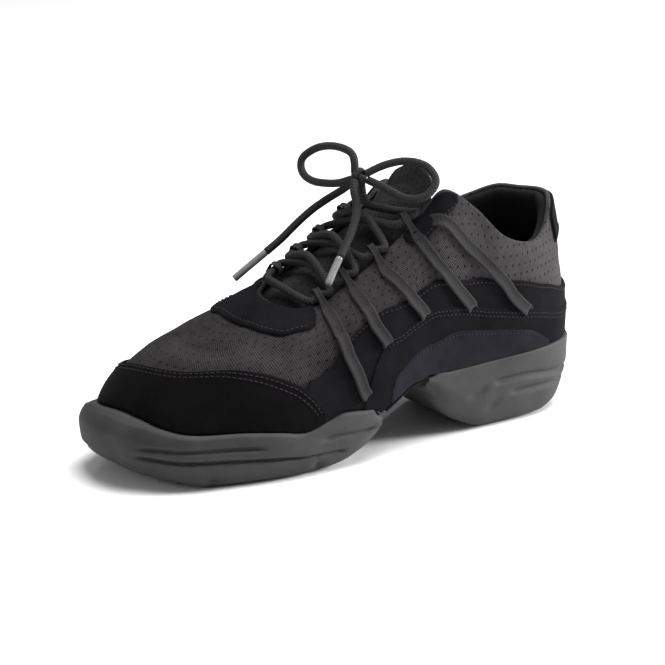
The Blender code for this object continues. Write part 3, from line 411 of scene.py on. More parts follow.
# %% [markdown]
# The edges of the panels and the straps are places on the last as well, each a row
# position with a height share.

# %% Edges and straps
TOE_CAP_EDGE = (
    (9.0, 0.14), (9.2, 0.19), (9.6, 0.29), (10.2, 0.40), (11.2, 0.49), (12.3, 0.53),
    (13.1, 0.50), (14.0, 0.45), (15.0, 0.38), (16.0, 0.36), (17.0, 0.37), (17.8, 0.34),
    (18.4, 0.27), (18.8, 0.19), (19.0, 0.14),
)
EYESTAY_EDGE = (
    (10.2, 0.84), (10.5, 0.77), (10.8, 0.77), (11.5, 0.75), (12.1, 0.78), (13.0, 0.83),
    (14.2, 0.84), (15.0, 0.80), (15.8, 0.78), (16.5, 0.84),
)
FOXING_EDGE_FOLDED = (
    (0.0, 0.40), (1.2, 0.43), (2.4, 0.60), (3.5, 0.70), (4.3, 0.66), (5.3, 0.55),
    (5.8, 0.53), (7.0, 0.55), (7.7, 0.60), (8.3, 0.645), (9.1, 0.58), (9.35, 0.48),
    (9.6, 0.41), (10.0, 0.40),
)
BAND_EDGE_FOLDED = (
    (0.0, 0.29), (1.5, 0.31), (3.1, 0.45), (3.9, 0.475), (5.0, 0.43), (5.6, 0.40),
    (6.3, 0.385), (7.2, 0.40), (7.6, 0.43), (7.85, 0.42), (8.0, 0.34),
)
SIDE_LAYER_EDGE_FOLDED = (
    (7 / 3, 0.14), (3.2, 0.29), (4.1, 0.32), (5.2, 0.27), (5.7, 0.21), (6.5, 0.18),
    (7.0, 0.14),
)
HEEL_TAB_LOW = 0.76
HEEL_TAB_ROWS = 1.5
THROAT_CORNER_EDGE = ((5.6, 0.95), (5.9, 0.87), (6.5, 0.83), (7.1, 0.84), (7.5, 0.93))
# webbing straps of the lateral side: (row position, height share) from the throat
# down, then the row position of the medial strap's loop, or 0 for the pair without one
STRAP_ROWS = (
    (((9.95, 1.0), (9.90, 0.88), (9.60, 0.70), (9.10, 0.50), (8.50, 0.33), (8.15, 0.22)), 17.0),
    (((9.10, 1.0), (9.05, 0.88), (8.80, 0.74), (8.45, 0.59), (7.95, 0.455)), 18.0),
    (((8.25, 1.0), (8.20, 0.88), (7.85, 0.74), (7.30, 0.57), (6.50, 0.41)), 19.0),
    (((7.25, 1.0), (7.15, 0.88), (6.75, 0.73), (6.05, 0.58), (5.10, 0.465)), 20.1),
    (((6.15, 0.83), (5.40, 0.75), (4.60, 0.72), (4.05, 0.67), (3.70, 0.58), (3.40, 0.50)), 0),
)
STRAP_LIFT = 0.00065
STRAP_RAMP = (0.040, 0.090)
LOOP_REACH = 0.0038
LOOP_RISE = 0.0022
LOOP_RADIUS = 0.0032
LOOP_LACE_RUN = 0.0060
ARCH_ROWS = (5.9, 7.1)
ARCH_DROP = 0.0005
LINING_END = 5.2
LINING_GAP = 0.0005

# %% [markdown]
# These functions turn a row position and a height share into a place in space.


# %% Places on the last
def between(a, b, c, d, f):
    """Catmull-Rom value at the share f of the way from b to c."""
    return b + 0.5 * f * (c - a + f * (2 * a - 5 * b + 4 * c - d + f * (3 * (b - c) + d - a)))


def unit(vector):
    return vector / np.linalg.norm(vector)


def run_along(spots):
    """Metres along a path up to each of its points."""
    return np.concatenate([[0.0], np.cumsum(np.linalg.norm(np.diff(spots, axis=0), axis=1))])


def soften(x):
    """Smooth step from 0 to 1."""
    x = min(max(x, 0.0), 1.0)
    return x * x * (3 - 2 * x)


def table_value(rows, x, column=1):
    """Monotone cubic value of one column of a table at x, held flat past its ends."""
    xs = [row[0] for row in rows]
    ys = [row[column] for row in rows]
    if x <= xs[0]:
        return ys[0]
    if x >= xs[-1]:
        return ys[-1]
    slopes = [(ys[i + 1] - ys[i]) / (xs[i + 1] - xs[i]) for i in range(len(xs) - 1)]

    def tangent(i):
        if i == 0 or i == len(xs) - 1:
            return slopes[min(i, len(slopes) - 1)]
        before, after = slopes[i - 1], slopes[i]
        return 0.0 if before * after <= 0 else 2 * before * after / (before + after)

    i = max(k for k in range(len(xs) - 1) if xs[k] <= x)
    width = xs[i + 1] - xs[i]
    f = (x - xs[i]) / width
    return ((1 + 2 * f) * (1 - f) ** 2 * ys[i] + f * (1 - f) ** 2 * width * tangent(i)
            + f * f * (3 - 2 * f) * ys[i + 1] - f * f * (1 - f) * width * tangent(i + 1))


def height_at(rows):
    """Height as a function of y, from (station, share of TAB_HEIGHT) rows."""
    return lambda y: TAB_HEIGHT * table_value(rows, y / LENGTH + 0.5)


footbed, fore_ground, heel_ground = (
    height_at(rows) for rows in (FOOTBED_ROWS, FORE_GROUND_ROWS, HEEL_GROUND_ROWS))


def last_value(column, t):
    """Smooth value of one column of the last, a closed row of numbers, at t."""
    first = math.floor(t)
    near = (LAST_ROWS[(first + k) % ROW_COUNT][column] for k in (-1, 0, 1, 2))
    return between(*near, t - first)


def foot_point(t):
    """Point of the feather line."""
    y = (last_value(0, t) - 0.5) * LENGTH
    return np.array([HALF_WIDTH * last_value(1, t), y, footbed(y)])


# steps, in rows and in height share, over which a slope of the last is taken
LEVEL_STEP, ROW_STEP, SHARE_STEP = 0.05, 0.04, 0.002


def outward(t):
    """Level unit vector that points out of the feather line."""
    step = foot_point(t + LEVEL_STEP) - foot_point(t - LEVEL_STEP)
    return unit(np.array([-step[1], step[0], 0.0]))


def top_point(t):
    """Point of the topline."""
    return np.array([HALF_WIDTH * last_value(3, t), (last_value(2, t) - 0.5) * LENGTH,
                     TAB_HEIGHT * last_value(4, t)])


@lru_cache(maxsize=None)
def meridian(t):
    """Four Bezier points of the wall at row position t."""
    foot, top, out = foot_point(t), top_point(t), outward(t)
    up = np.array([0.0, 0.0, 1.0])
    low = foot + TAB_HEIGHT * (last_value(5, t) * up + last_value(6, t) * out)
    high = top + TAB_HEIGHT * (last_value(7, t) * out - last_value(8, t) * up)
    return foot, low, high, top


def shell(t, s):
    """Outer face of the upper at row position t and height share s."""
    a, b, c, d = meridian(t)
    r = 1.0 - s
    return r ** 3 * a + 3 * r * r * s * b + 3 * r * s * s * c + s ** 3 * d


def shell_normal(t, s):
    s = min(max(s, SHARE_STEP), 1 - SHARE_STEP)
    along = shell(t + ROW_STEP, s) - shell(t - ROW_STEP, s)
    climb = shell(t, s + SHARE_STEP) - shell(t, s - SHARE_STEP)
    return unit(np.cross(climb, along))


def lifted(t, s, lift):
    """Point that stands off the upper's outer face by lift."""
    return shell(t, s) + lift * shell_normal(t, s)


def height_share(t, z):
    """Height share s at which the wall at t reaches the height z."""
    shares = np.linspace(0.0, 0.9, 60)
    return float(np.interp(z, [shell(t, s)[2] for s in shares], shares))


def folded(t):
    """Row position folded onto the lateral side."""
    t = t % ROW_COUNT
    return min(t, ROW_COUNT - t)


def at_rim(t):
    """Height share of the sole's rim, or the foot line in the arch."""
    row = t % ROW_COUNT
    if FORE_CORNERS[0] <= row <= FORE_CORNERS[1]:
        rim = TAB_HEIGHT * table_value(FORE_WALL_ROWS, row)
    elif folded(t) <= HEEL_CORNERS[0]:
        rim = TAB_HEIGHT * table_value(HEEL_WALL_ROWS, folded(t))
    else:
        return 0.0
    return height_share(row, max(rim, foot_point(row)[2] + RIM_MINIMUM))


def fold_edge(rows):
    """Edge that is the same on both sides, as a function of the row position."""
    return lambda t: table_value(rows, folded(t))


def smooth_path(route, per_leg):
    """Points of a smooth curve through the route."""
    route = [np.array(p, dtype=float) for p in route]
    ends = [2 * route[0] - route[1]] + route + [2 * route[-1] - route[-2]]
    points = []
    for a, b, c, d in zip(ends, ends[1:], ends[2:], ends[3:]):
        points += [between(a, b, c, d, k / per_leg) for k in range(per_leg)]
    return points + [route[-1]]


LOOP_CLIMB_FROM = 0.97


def loop_frame(t):
    """Throat edge, climb direction, outward normal and the lace's middle in the loop."""
    edge = top_point(t)
    normal = shell_normal(t, 1.0)
    climb = unit(edge - shell(t, LOOP_CLIMB_FROM))
    return edge, climb, normal, edge + LOOP_REACH * climb + LOOP_RISE * normal


def strap_lift(t, s):
    """How far a strap's middle stands off the upper, with a ramp onto the foxing."""
    on_mesh = STRAP_LIFT + STRAP_THICKNESS / 2
    on_suede = on_mesh + PANEL_LIFT + PANEL_SWELL + PANEL_THICKNESS
    edges = [table_value(FOXING_EDGE_FOLDED, folded(t) - shift) for shift in (0.0, 0.25)]
    above = s - max(edges)
    ramp = min(max((STRAP_RAMP[1] - above) / (STRAP_RAMP[1] - STRAP_RAMP[0]), 0.0), 1.0)
    return on_mesh + (on_suede - on_mesh) * ramp


def through_loop(t):
    """Three lace points through the loop at t, from its ankle end to its toe end."""
    edge, climb, normal, middle = loop_frame(t)
    axis = LOOP_LACE_RUN * unit(np.cross(normal, climb))
    axis *= math.copysign(1.0, axis[1])
    return [middle + axis, middle, middle - axis]


# %% [markdown]
# Cloth is never a perfect shell. It puckers between the straps, folds where the ball
# of the foot bends and sags a little in the open mesh. Each crease here is a soft
# trough or ridge between two named places, drawn from the way a worn shoe lies,
# and every sheet on the last reads the same creases.

# %% Creases of the upper
# row position and height share of one end, of the other end, then half width and
# height (a trough is negative)
CREASES = (
    (10.6, 0.66, 12.0, 0.60, 0.0040, -0.0007),
    (12.0, 0.60, 13.6, 0.64, 0.0042, -0.0009),
    (13.6, 0.64, 15.4, 0.60, 0.0040, -0.0007),
    (11.2, 0.56, 13.2, 0.54, 0.0036, 0.0005),
    (13.2, 0.54, 15.2, 0.50, 0.0036, 0.0005),
    (9.6, 0.60, 10.4, 0.44, 0.0034, -0.0006),
    (9.1, 0.46, 9.6, 0.30, 0.0030, -0.0005),
    (8.8, 0.80, 8.3, 0.62, 0.0036, -0.0006),
    (7.9, 0.82, 7.2, 0.64, 0.0036, -0.0006),
    (6.9, 0.80, 6.1, 0.62, 0.0038, -0.0006),
    (7.4, 0.52, 6.2, 0.46, 0.0030, -0.0004),
    (5.2, 0.92, 4.5, 0.78, 0.0050, -0.0007),
    (4.0, 0.92, 3.0, 0.84, 0.0050, 0.0006),
    (3.6, 0.62, 2.2, 0.52, 0.0045, -0.0005),
    (1.6, 0.55, 0.4, 0.62, 0.0050, -0.0005),
    (18.6, 0.60, 19.8, 0.48, 0.0036, -0.0006),
    (20.4, 0.74, 21.3, 0.56, 0.0038, -0.0006),
    (23.0, 0.90, 23.8, 0.76, 0.0050, -0.0006),
)
crease_ends = np.array([[shell(t % ROW_COUNT, s) for t, s in (row[0:2], row[2:4])]
                        for row in CREASES])
crease_starts = crease_ends[:, 0]
crease_runs = crease_ends[:, 1] - crease_starts
CREASE_FADE = 0.65
crease_sizes = np.array([row[4:6] for row in CREASES])


def crease_lift(spot):
    """How far the creases lift or sink the cloth at a place."""
    gap = spot - crease_starts
    f = np.clip((gap * crease_runs).sum(axis=1) / (crease_runs ** 2).sum(axis=1), 0.0, 1.0)
    far = np.linalg.norm(gap - f[:, None] * crease_runs, axis=1) / crease_sizes[:, 0]
    fade = 1 - CREASE_FADE + CREASE_FADE * np.sin(math.pi * f)
    return float((crease_sizes[:, 1] * np.exp(-far * far) * fade).sum())


def on_last(t, s, lift):
    """Place on the creased upper, lift metres above the bare cloth."""
    spot = shell(t, s)
    return spot + (lift + crease_lift(spot)) * shell_normal(t, s)


print(len(CREASES), "creases, topline at the heel", top_point(0.0).round(4))


# %% [markdown]
# ## Laying a sheet
# Every panel starts as a flat grid. Its points are laid on the last between two
# edges, its UV map is set in metres so that a weave keeps its size, and Solidify
# gives it the thickness of the leather or cloth. Near its border a panel rolls down,
# as a cut and stitched edge does.


# %% Lay a flat grid on the last
def only(piece):
    bpy.ops.object.select_all(action="DESELECT")
    piece.select_set(True)
    bpy.context.view_layer.objects.active = piece


def finish_piece(piece, finish, nodes=(), smooth=50):
    """Material, smooth shading, body and the CAD nodes that a piece replaces."""
    only(piece)
    piece.data.materials.clear()
    piece.data.materials.append(finish)
    bpy.ops.object.shade_smooth_by_angle(angle=math.radians(smooth))
    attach(piece, "root")
    if nodes:
        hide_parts(*nodes)
    return piece


def grid_piece(name, places, uvs):
    """Grid primitive with its points put at places[column][row]."""
    columns, rows = len(places), len(places[0])
    bpy.ops.object.select_all(action="DESELECT")
    bpy.ops.mesh.primitive_grid_add(x_subdivisions=columns - 1, y_subdivisions=rows - 1,
                                    size=2.0, calc_uvs=True)
    piece = bpy.context.active_object
    piece.name = name
    mesh = piece.data
    flat = (np.array([v.co[:2] for v in mesh.vertices]) + 1) / 2 * (columns - 1, rows - 1)
    column, row = np.rint(flat).astype(int).T
    mesh.vertices.foreach_set("co", np.array(places)[column, row].ravel())
    corner_vertex = np.empty(len(mesh.loops), dtype=np.int32)
    mesh.loops.foreach_get("vertex_index", corner_vertex)
    plane = np.array(uvs)[column, row][corner_vertex]
    mesh.uv_layers.active.data.foreach_set("uv", plane.astype(np.float32).ravel())
    mesh.update()
    return piece


def closed_piece(name, places, uvs):
    """Grid whose doubled points are merged, with its faces turned outwards."""
    piece = grid_piece(name, places, uvs)
    only(piece)
    bpy.ops.object.mode_set(mode="EDIT")
    bpy.ops.mesh.select_all(action="SELECT")
    bpy.ops.mesh.remove_doubles(threshold=1e-6)
    bpy.ops.mesh.normals_make_consistent(inside=False)
    bpy.ops.object.mode_set(mode="OBJECT")
    return piece


def with_caps(rings, middles=None):
    """Rings with one more at each end, shrunk to a point so that it closes the end."""
    middles = middles or [sum(ring) / len(ring) for ring in (rings[0], rings[-1])]
    first, last = ([middle] * len(rings[0]) for middle in middles)
    return [first] + rings + [last]


def apply_modifier(piece, kind, name, **settings):
    only(piece)
    modifier = piece.modifiers.new(name, kind)
    for key, value in settings.items():
        setattr(modifier, key, value)
    bpy.ops.object.modifier_apply(modifier=modifier.name)


STEPS_PER_ROW = 8
run_steps = np.arange(0, ROW_COUNT * STEPS_PER_ROW + 1) / STEPS_PER_ROW
run_length = run_along([shell(t, 0.5) for t in run_steps])


def run_at(t):
    """Metres along the shoe's middle line up to the row position t."""
    return float(np.interp(t % ROW_COUNT, run_steps, run_length)) + (
        run_length[-1] * math.floor(t / ROW_COUNT))


WALL_BULGE = 0.92


def rise_at(t, s):
    """Rough metres from the feather edge up to the height share s, for the patterns."""
    return s * WALL_BULGE * np.linalg.norm(shell(t, 1.0) - shell(t, 0.0))


def face_up(piece):
    """Turns an open sheet so that its faces look away from the shoe's middle."""
    mesh = piece.data
    outwards = 0.0
    for face in mesh.polygons:
        middle = Vector((0.0, face.center.y * 0.8, 0.035))
        outwards += face.normal.dot(face.center - middle) * face.area
    if outwards < 0:
        mesh.flip_normals()


EDGE_ROLL = 0.0009
EDGE_THICKNESS = 0.00025
SHEET_THICKNESS = 0.0006
BORDER = (0.0, 0.0004, 0.0010, 0.0020)
PANEL_PITCH = 0.0032
PANEL_LEAST_SHARE = 0.006
PANEL_LEAST_HEIGHT = 0.0045


def panel(name, node, ends, low, high, finish, lift=0.00035, thickness=0.0012):
    """Panel on the last between two edges, each a height share along the row position."""
    first, last = ends
    length = run_at(last) - run_at(first)
    per_metre = (last - first) / length
    columns = max(8, int(length / PANEL_PITCH))
    border_t = [d * per_metre for d in BORDER]
    middle_t = [first + (last - first) * k / columns for k in range(1, columns)]
    margin = border_t[-1] * 1.5
    stations = [first + d for d in border_t]
    stations += [t for t in middle_t if first + margin < t < last - margin]
    stations += [last - d for d in reversed(border_t)]
    tallest = max(np.linalg.norm(shell(t, high(t)) - shell(t, low(t))) for t in stations)
    rows = max(3, int(tallest / PANEL_PITCH))
    places, uvs = [], []
    for t in stations:
        bottom = low(t)
        top = max(high(t), bottom + PANEL_LEAST_SHARE)
        tall = max(np.linalg.norm(shell(t, top) - shell(t, bottom)), PANEL_LEAST_HEIGHT)
        cuts = [d / tall for d in BORDER]
        inner = [cuts[-1] + (1 - 2 * cuts[-1]) * k / rows for k in range(1, rows)]
        line, plane = [], []
        for f in cuts + inner + [1 - c for c in reversed(cuts)]:
            s = bottom + (top - bottom) * f
            near = min(f * tall, (1 - f) * tall, (t - first) / per_metre, (last - t) / per_metre)
            roll = math.sqrt(max(0.0, 1 - (1 - min(near / EDGE_ROLL, 1.0)) ** 2))
            line.append(on_last(t, s, lift + EDGE_THICKNESS + (thickness - EDGE_THICKNESS) * roll))
            plane.append((run_at(t), rise_at(t, s)))
        places.append(line)
        uvs.append(plane)
    piece = grid_piece(name, places, uvs)
    face_up(piece)
    apply_modifier(piece, "SOLIDIFY", "Thickness", thickness=SHEET_THICKNESS, offset=-1.0)
    finish_piece(piece, finish, [node])


# %% [markdown]
# A round or flat strip is a grid too: its columns follow a path, its rows go once
# round the strip's section. The first and last columns shrink to a point, so that
# merging the doubled points closes the seam and both ends.


# %% Sweep a section along a path
def smooth_stations(spots, step):
    """Evenly spaced points along a smooth curve through the spots."""
    fine = np.array(smooth_path(spots, 12))
    run = run_along(fine)
    cuts = np.linspace(0.0, run[-1], max(3, int(run[-1] / step)) + 1)
    return np.stack([np.interp(cuts, run, fine[:, k]) for k in range(3)], axis=1)


def tangents(spots):
    step = np.gradient(np.array(spots), axis=0)
    return step / np.linalg.norm(step, axis=1)[:, None]


def sweep(name, spots, normals, section, sizes=None):
    """Strip whose section, (across, up) points in metres, follows the spots."""
    loop = section + section[:1]
    around = run_along(loop)
    rings = []
    for k, (spot, normal, way) in enumerate(zip(spots, normals, tangents(spots))):
        side = unit(np.cross(way, normal))
        over = np.cross(side, way)
        size = sizes[k] if sizes else 1.0
        rings.append([spot + size * (x * side + z * over) for x, z in loop])
    uvs = [[(value, run) for value in around] for run in run_along(spots)]
    return closed_piece(name, with_caps(rings, (spots[0], spots[-1])),
                        uvs[:1] + uvs + uvs[-1:])


def carried_normals(spots, first=(0.0, 0.0, 1.0)):
    """Normals that follow a path without twisting."""
    normals = [np.array(first)]
    for way in tangents(spots):
        normals.append(unit(normals[-1] - normals[-1].dot(way) * way))
    return normals[1:]


def circle(radius, count=12):
    turns = [2 * math.pi * k / count for k in range(count)]
    return [(radius * math.cos(a), radius * math.sin(a)) for a in turns]


# %% [markdown]
# ## The laces
# The lace is round, 3.8 mm thick, and tied in one bow. Its free loops and ends are
# cords that hang over the throat; the laced part zigzags up through the webbing
# loops, one half over the other at each crossing.

# %% Free loops and ends of the bow
LACE_DIAMETER = 0.0038
AGLET_DIAMETER = 0.0035
LACE_CROSSING_RISE = 0.0060
LACE_BAR_MIDDLE = (-0.006, -0.037, 0.0800)
LATERAL_TOP_ROUTE = ((0.0005, 0.0125, 0.1170), (-0.0010, 0.0150, 0.1100),
                     (0.0070, 0.0225, 0.1075), (0.0150, 0.0290, 0.1070))
MEDIAL_TOP_ROUTE = ((-0.0045, 0.0130, 0.1172), (-0.0080, 0.0165, 0.1125),
                    (-0.0135, 0.0225, 0.1090))
KNOT_MIDDLE = (-2.0, 11.6, 123.0)
KNOT_AXIS = (7.8, 4.8, -1.0)
BOW_ROUTES = {
    "lace_loop_left": (
        (-6.6, 10.8, 125.1), (-6.4, 12.0, 128.8), (-8.9, 12.4, 132.0), (-13.4, 11.4, 133.8),
        (-20.3, 9.2, 134.3), (-27.2, 6.5, 132.9), (-32.4, 3.7, 129.8), (-35.2, 1.6, 126.2),
        (-34.7, 0.7, 122.3), (-31.2, 0.4, 119.2), (-25.9, 1.7, 117.3), (-19.1, 4.0, 117.3),
        (-12.1, 6.7, 118.4), (-6.8, 8.4, 120.2)),
    "lace_loop_right": (
        (2.4, 14.6, 125.2), (3.6, 19.2, 127.4), (6.1, 23.6, 129.1), (9.4, 28.3, 130.2),
        (13.6, 32.4, 130.1), (18.2, 35.4, 128.7), (22.2, 36.5, 126.0), (25.1, 36.2, 122.8),
        (25.9, 34.0, 119.5), (25.2, 30.5, 116.5), (22.6, 26.8, 115.0), (18.3, 23.0, 115.1),
        (12.9, 20.0, 117.3), (7.6, 17.5, 119.4), (4.2, 15.6, 120.6)),
    "lace_end_right": (
        (0.5, 5.6, 120.6), (3.0, 5.5, 116.9), (5.2, 5.2, 113.2), (8.2, 3.2, 107.7),
        (12.2, -1.7, 102.2), (15.4, -7.3, 96.5), (17.8, -12.2, 91.6)),
    "lace_end_left": (
        (-10.2, 13.6, 118.3), (-15.4, 11.6, 114.0), (-20.0, 6.8, 109.6), (-24.0, -0.1, 104.0),
        (-27.0, -7.1, 97.4), (-29.0, -14.3, 90.6), (-31.0, -21.4, 84.9)),
}
AGLET_ROUTES = {
    "aglet_right": ((18.0, -12.8, 91.0), (19.8, -17.0, 86.3), (22.0, -21.4, 81.3)),
    "aglet_left": ((-31.2, -22.3, 84.2), (-33.1, -29.6, 78.6), (-35.0, -36.8, 73.0)),
}
TIP_TAPER = 0.86
KNOT_PULL = 0.4
KNOT_TUCK = 0.45
LACE_STEP, LACED_STEP, SHORT_STEP = 0.0012, 0.0014, 0.0008


def in_metres(route):
    """Places of a route that is written in millimetres."""
    return [np.array(p) / 1000 for p in route]


def lace_piece(name, route, step, node, normal=(0.0, 0.0, 1.0)):
    """Round lace along a route, with the points of its middle line."""
    spots = smooth_stations(route, step)
    piece = sweep(name, spots, carried_normals(spots, normal), circle(LACE_DIAMETER / 2))
    return finish_piece(piece, lace_finish, [node], 180), spots


bow_pieces = {}
knot_middle = in_metres([KNOT_MIDDLE])[0]
for name, route in BOW_ROUTES.items():
    route = in_metres(route)
    for end in (0, -1) if "loop" in name else (0,):
        route[end] = route[end] * (1 - KNOT_PULL) + knot_middle * KNOT_PULL
    bow_pieces[name] = lace_piece(name.replace("lace", "bow"), route, LACE_STEP, name)

for name, route in AGLET_ROUTES.items():
    lace_end = bow_pieces[name.replace("aglet", "lace_end")][1][-1]
    spots = smooth_stations([lace_end] + in_metres(route), SHORT_STEP)
    sizes = [TIP_TAPER] + [1.0] * (len(spots) - 2) + [TIP_TAPER]
    piece = sweep(name.replace("aglet", "lace_tip"), spots, carried_normals(spots),
                  circle(AGLET_DIAMETER / 2), sizes)
    bow_pieces[name] = (finish_piece(piece, aglet_finish, [name]), spots)
print("bow of", len(bow_pieces), "pieces")

# %% [markdown]
# The knot is the lace itself, wound round the line from loop to loop.

# %% Knot
KNOT_TURNS, KNOT_PITCH, KNOT_MID_RADIUS = 1.7, 0.0034, 0.0024
KNOT_STEPS = 32
knot_axis = unit(np.array(KNOT_AXIS))
knot_up = unit(np.array([0.0, 0.0, 1.0]) - knot_axis[2] * knot_axis)
knot_side = np.cross(knot_axis, knot_up)
route = []
for f in np.linspace(0.0, 1.0, KNOT_STEPS + 1):
    angle = 2 * math.pi * KNOT_TURNS * (f - 0.5) + math.pi / 2
    radius = KNOT_MID_RADIUS * (1 - KNOT_TUCK + KNOT_TUCK * min(1.0, 6 * min(f, 1 - f)))
    route.append(knot_middle + radius * (math.cos(angle) * knot_side + math.sin(angle) * knot_up)
                 + KNOT_PITCH * KNOT_TURNS * (f - 0.5) * knot_axis)
knot = lace_piece("lace_wrap", route, SHORT_STEP, "lace_knot", knot_axis)[0]
print("knot with", len(knot.data.polygons), "faces")

# %% [markdown]
# The bow's loops and ends are free cords. The wound knot goes with the right end.

# %% The bow's cords
for name, far_end, tip in (
        ("lace_loop_left", "knot", []), ("lace_loop_right", "knot", []),
        ("lace_end_left", "fitting", [bow_pieces["aglet_left"][0]]),
        ("lace_end_right", "fitting", [bow_pieces["aglet_right"][0], knot])):
    piece, spots = bow_pieces[name]

# %% [markdown]
# The laced part is two halves of one lace. Each half runs through a loop, crosses to
# the other side, and at the crossings one half lies on the other.

# %% Laced part
lateral_rows, medial_rows = zip(*((rows[0][0], medial_row) for rows, medial_row in STRAP_ROWS
                                  if medial_row > 0))
crossings = []
for k in range(3):
    group = [loop_frame(t)[3] for t in lateral_rows[k:k + 2] + medial_rows[k:k + 2]]
    crossings.append(sum(group) / 4 + np.array([0.0, 0.0, LACE_CROSSING_RISE]))


def laced_half(name, first, second, top_route, over):
    """Half of the lace; over says whether it is the upper one at the first crossing."""
    route = [np.array(p) for p in top_route]
    route[0] = KNOT_PULL * route[0] + (1 - KNOT_PULL) * knot_middle
    for k in (3, 2, 1, 0):
        route += through_loop((first, second)[(3 - k) % 2][k])
        if k:
            side = 1 if (k % 2 == 0) == over else -1
            route.append(crossings[k - 1] + np.array([0.0, 0.0, side * LACE_DIAMETER / 2]))
    route.append(np.array(LACE_BAR_MIDDLE))
    lace_piece(name, route, LACED_STEP, "lace_bars", (1.0, 0.0, 0.3))


laced_half("laced_half_outer", lateral_rows, medial_rows, LATERAL_TOP_ROUTE, True)
laced_half("laced_half_inner", medial_rows, lateral_rows, MEDIAL_TOP_ROUTE, False)
print("two laced halves")

# %% [markdown]
# ## The webbing straps
# Every strap lies on the quarter. Its lower end dives under the band, and its upper
# end narrows into a loop for the lace.


# %% Webbing straps
STRAP_SINK = 0.0021
TUCK_START, TUCK_RUN = 0.004, 0.022
FREE_STRAP_TOP = (6.85, 0.93)
FRONT_STRAP_END = (7.85, 0.15)
HIDDEN_RISE = 0.08
NECK_SHARE, NECK_RUN = 0.52, 0.010
LOOP_ANGLES = np.radians(np.linspace(-155, 90, 15))
LOOP_FOOT_DROP, LOOP_FOOT_LIFT = 0.0006, 0.0034
WEBBING_WIDTH = 0.0060
# half of the section's top, as shares of its width and thickness; the edge is thicker
WEBBING_TOP = ((0.5, 0.0), (0.48, 0.5), (0.40, 0.72), (0.30, 0.62), (0.20, 0.42), (0.0, 0.40))
webbing_section = [(x * WEBBING_WIDTH, z * STRAP_THICKNESS) for x, z in (
    WEBBING_TOP + tuple((-x, z) for x, z in reversed(WEBBING_TOP[:-1]))
    + ((-0.48, -0.4), (0.48, -0.4)))]


def tucked(t, s):
    """How far a strap sinks where it dives under the band's edge."""
    if folded(t) > BAND_FRONT_ROW:
        return 0.0
    edge = table_value(BAND_EDGE_FOLDED, folded(t))
    return STRAP_SINK * soften((edge + TUCK_START - s) / TUCK_RUN)


def strap_piece(side, number, rows, looped, place):
    """Strap from its lace loop, or from under the throat's edge, down to the band."""
    if not looped:
        rows = (FREE_STRAP_TOP,) + rows
    (near_t, near_s), (end_t, end_s) = rows[-2:]
    more = HIDDEN_RISE / (near_s - end_s)
    hidden = (end_t + more * (end_t - near_t), end_s - HIDDEN_RISE)
    if end_t > BAND_FRONT_ROW:
        hidden = FRONT_STRAP_END
    path = [tuple(p) for p in smooth_path(rows + (hidden,), 10)]
    spots, normals = [], []
    if looped:
        edge, climb, normal, middle = loop_frame(place(path[0]))
        normals = [math.cos(a) * climb + math.sin(a) * normal for a in LOOP_ANGLES]
        spots = [middle + LOOP_RADIUS * ray for ray in normals]
        spots.append(edge - LOOP_FOOT_DROP * climb + LOOP_FOOT_LIFT * normal)
        normals.append(normal)
        path = path[5:]
    neck = len(spots) - 1
    for k, (t, s) in enumerate(path):
        row = place((t, s))
        sink = tucked(t, s)
        if not looped:
            sink = max(sink, STRAP_SINK * soften(1.0 - k / 4))
        spots.append(on_last(row, s, strap_lift(t, s) - sink))
        normals.append(shell_normal(row, s))
    run = run_along(spots)
    sizes = [NECK_SHARE + (1.0 - NECK_SHARE) * soften((r - run[neck]) / NECK_RUN)
             if looped else 1.0 for r in run]
    piece = sweep(f"webbing_{side}_{number}", spots, normals, webbing_section, sizes)
    finish_piece(piece, webbing_finish, [f"strap_{side}_{number}"])


def lateral_side(place):
    return place[0]


def medial_side(rows, medial_row):
    """Moves a lateral strap's place to the inner side, where its loop sits elsewhere."""
    shift = ROW_COUNT - medial_row - rows[0][0] if medial_row else 0.0
    drop = rows[0][1] - rows[-1][1]
    return lambda place: ROW_COUNT - place[0] - shift * (place[1] - rows[-1][1]) / drop


for number, (rows, medial_row) in enumerate(STRAP_ROWS, 1):
    strap_piece("lateral", number, rows, medial_row > 0, lateral_side)
    strap_piece("medial", number, rows, medial_row > 0, medial_side(rows, medial_row))
print("ten webbing straps")

# %% [markdown]
# ## Cloth and suede finishes
# Each cloth is the woven group with its own two colours and thread pitch, and each
# suede is the nap group with its own two tones.

# %% Cloth and suede finishes
# the sport mesh is darkened towards the toe as painted shade
mesh_finish = cloth_finish("sport mesh", (0.088, 0.080, 0.083), (0.0020, 0.0017, 0.0020),
                           0.00052, 0.0045, 0.085, painted_toe_shade=True)
lining_finish = cloth_finish("lining mesh", (0.016, 0.015, 0.0155), (0.003, 0.003, 0.003),
                             0.00045, 0.0034, 0.07)
tongue_finish = cloth_finish("tongue mesh", (0.022, 0.020, 0.021), (0.004, 0.0035, 0.004),
                             0.00050, 0.0042, 0.11)
sock_finish = cloth_finish("sock cloth", (0.045, 0.044, 0.045), (0.010, 0.010, 0.010),
                           0.00060, 0.0500, 0.0)
cap_suede = suede_finish("toe suede", (0.0015, 0.0013, 0.0015), (0.0042, 0.0036, 0.0042), 55.0)
side_suede = suede_finish("side suede", (0.0026, 0.0024, 0.0030), (0.0070, 0.0066, 0.0080), 60.0)
layer_suede = suede_finish("arch layer", (0.006, 0.006, 0.0080), (0.016, 0.0155, 0.0205), 90.0)
thread_finish = cloth_finish("sewing thread", (0.026, 0.024, 0.027), (0.012, 0.011, 0.012),
                             0.00030, 0.0500, 0.0, 0.0001)
print("finishes:", len(bpy.data.materials))

# %% [markdown]
# ## The upper
# The quarter and the vamp are one sheet of mesh. It climbs the outside, turns over
# the topline in a soft roll and runs down the inside again, so it is a closed wall
# of its real thickness.

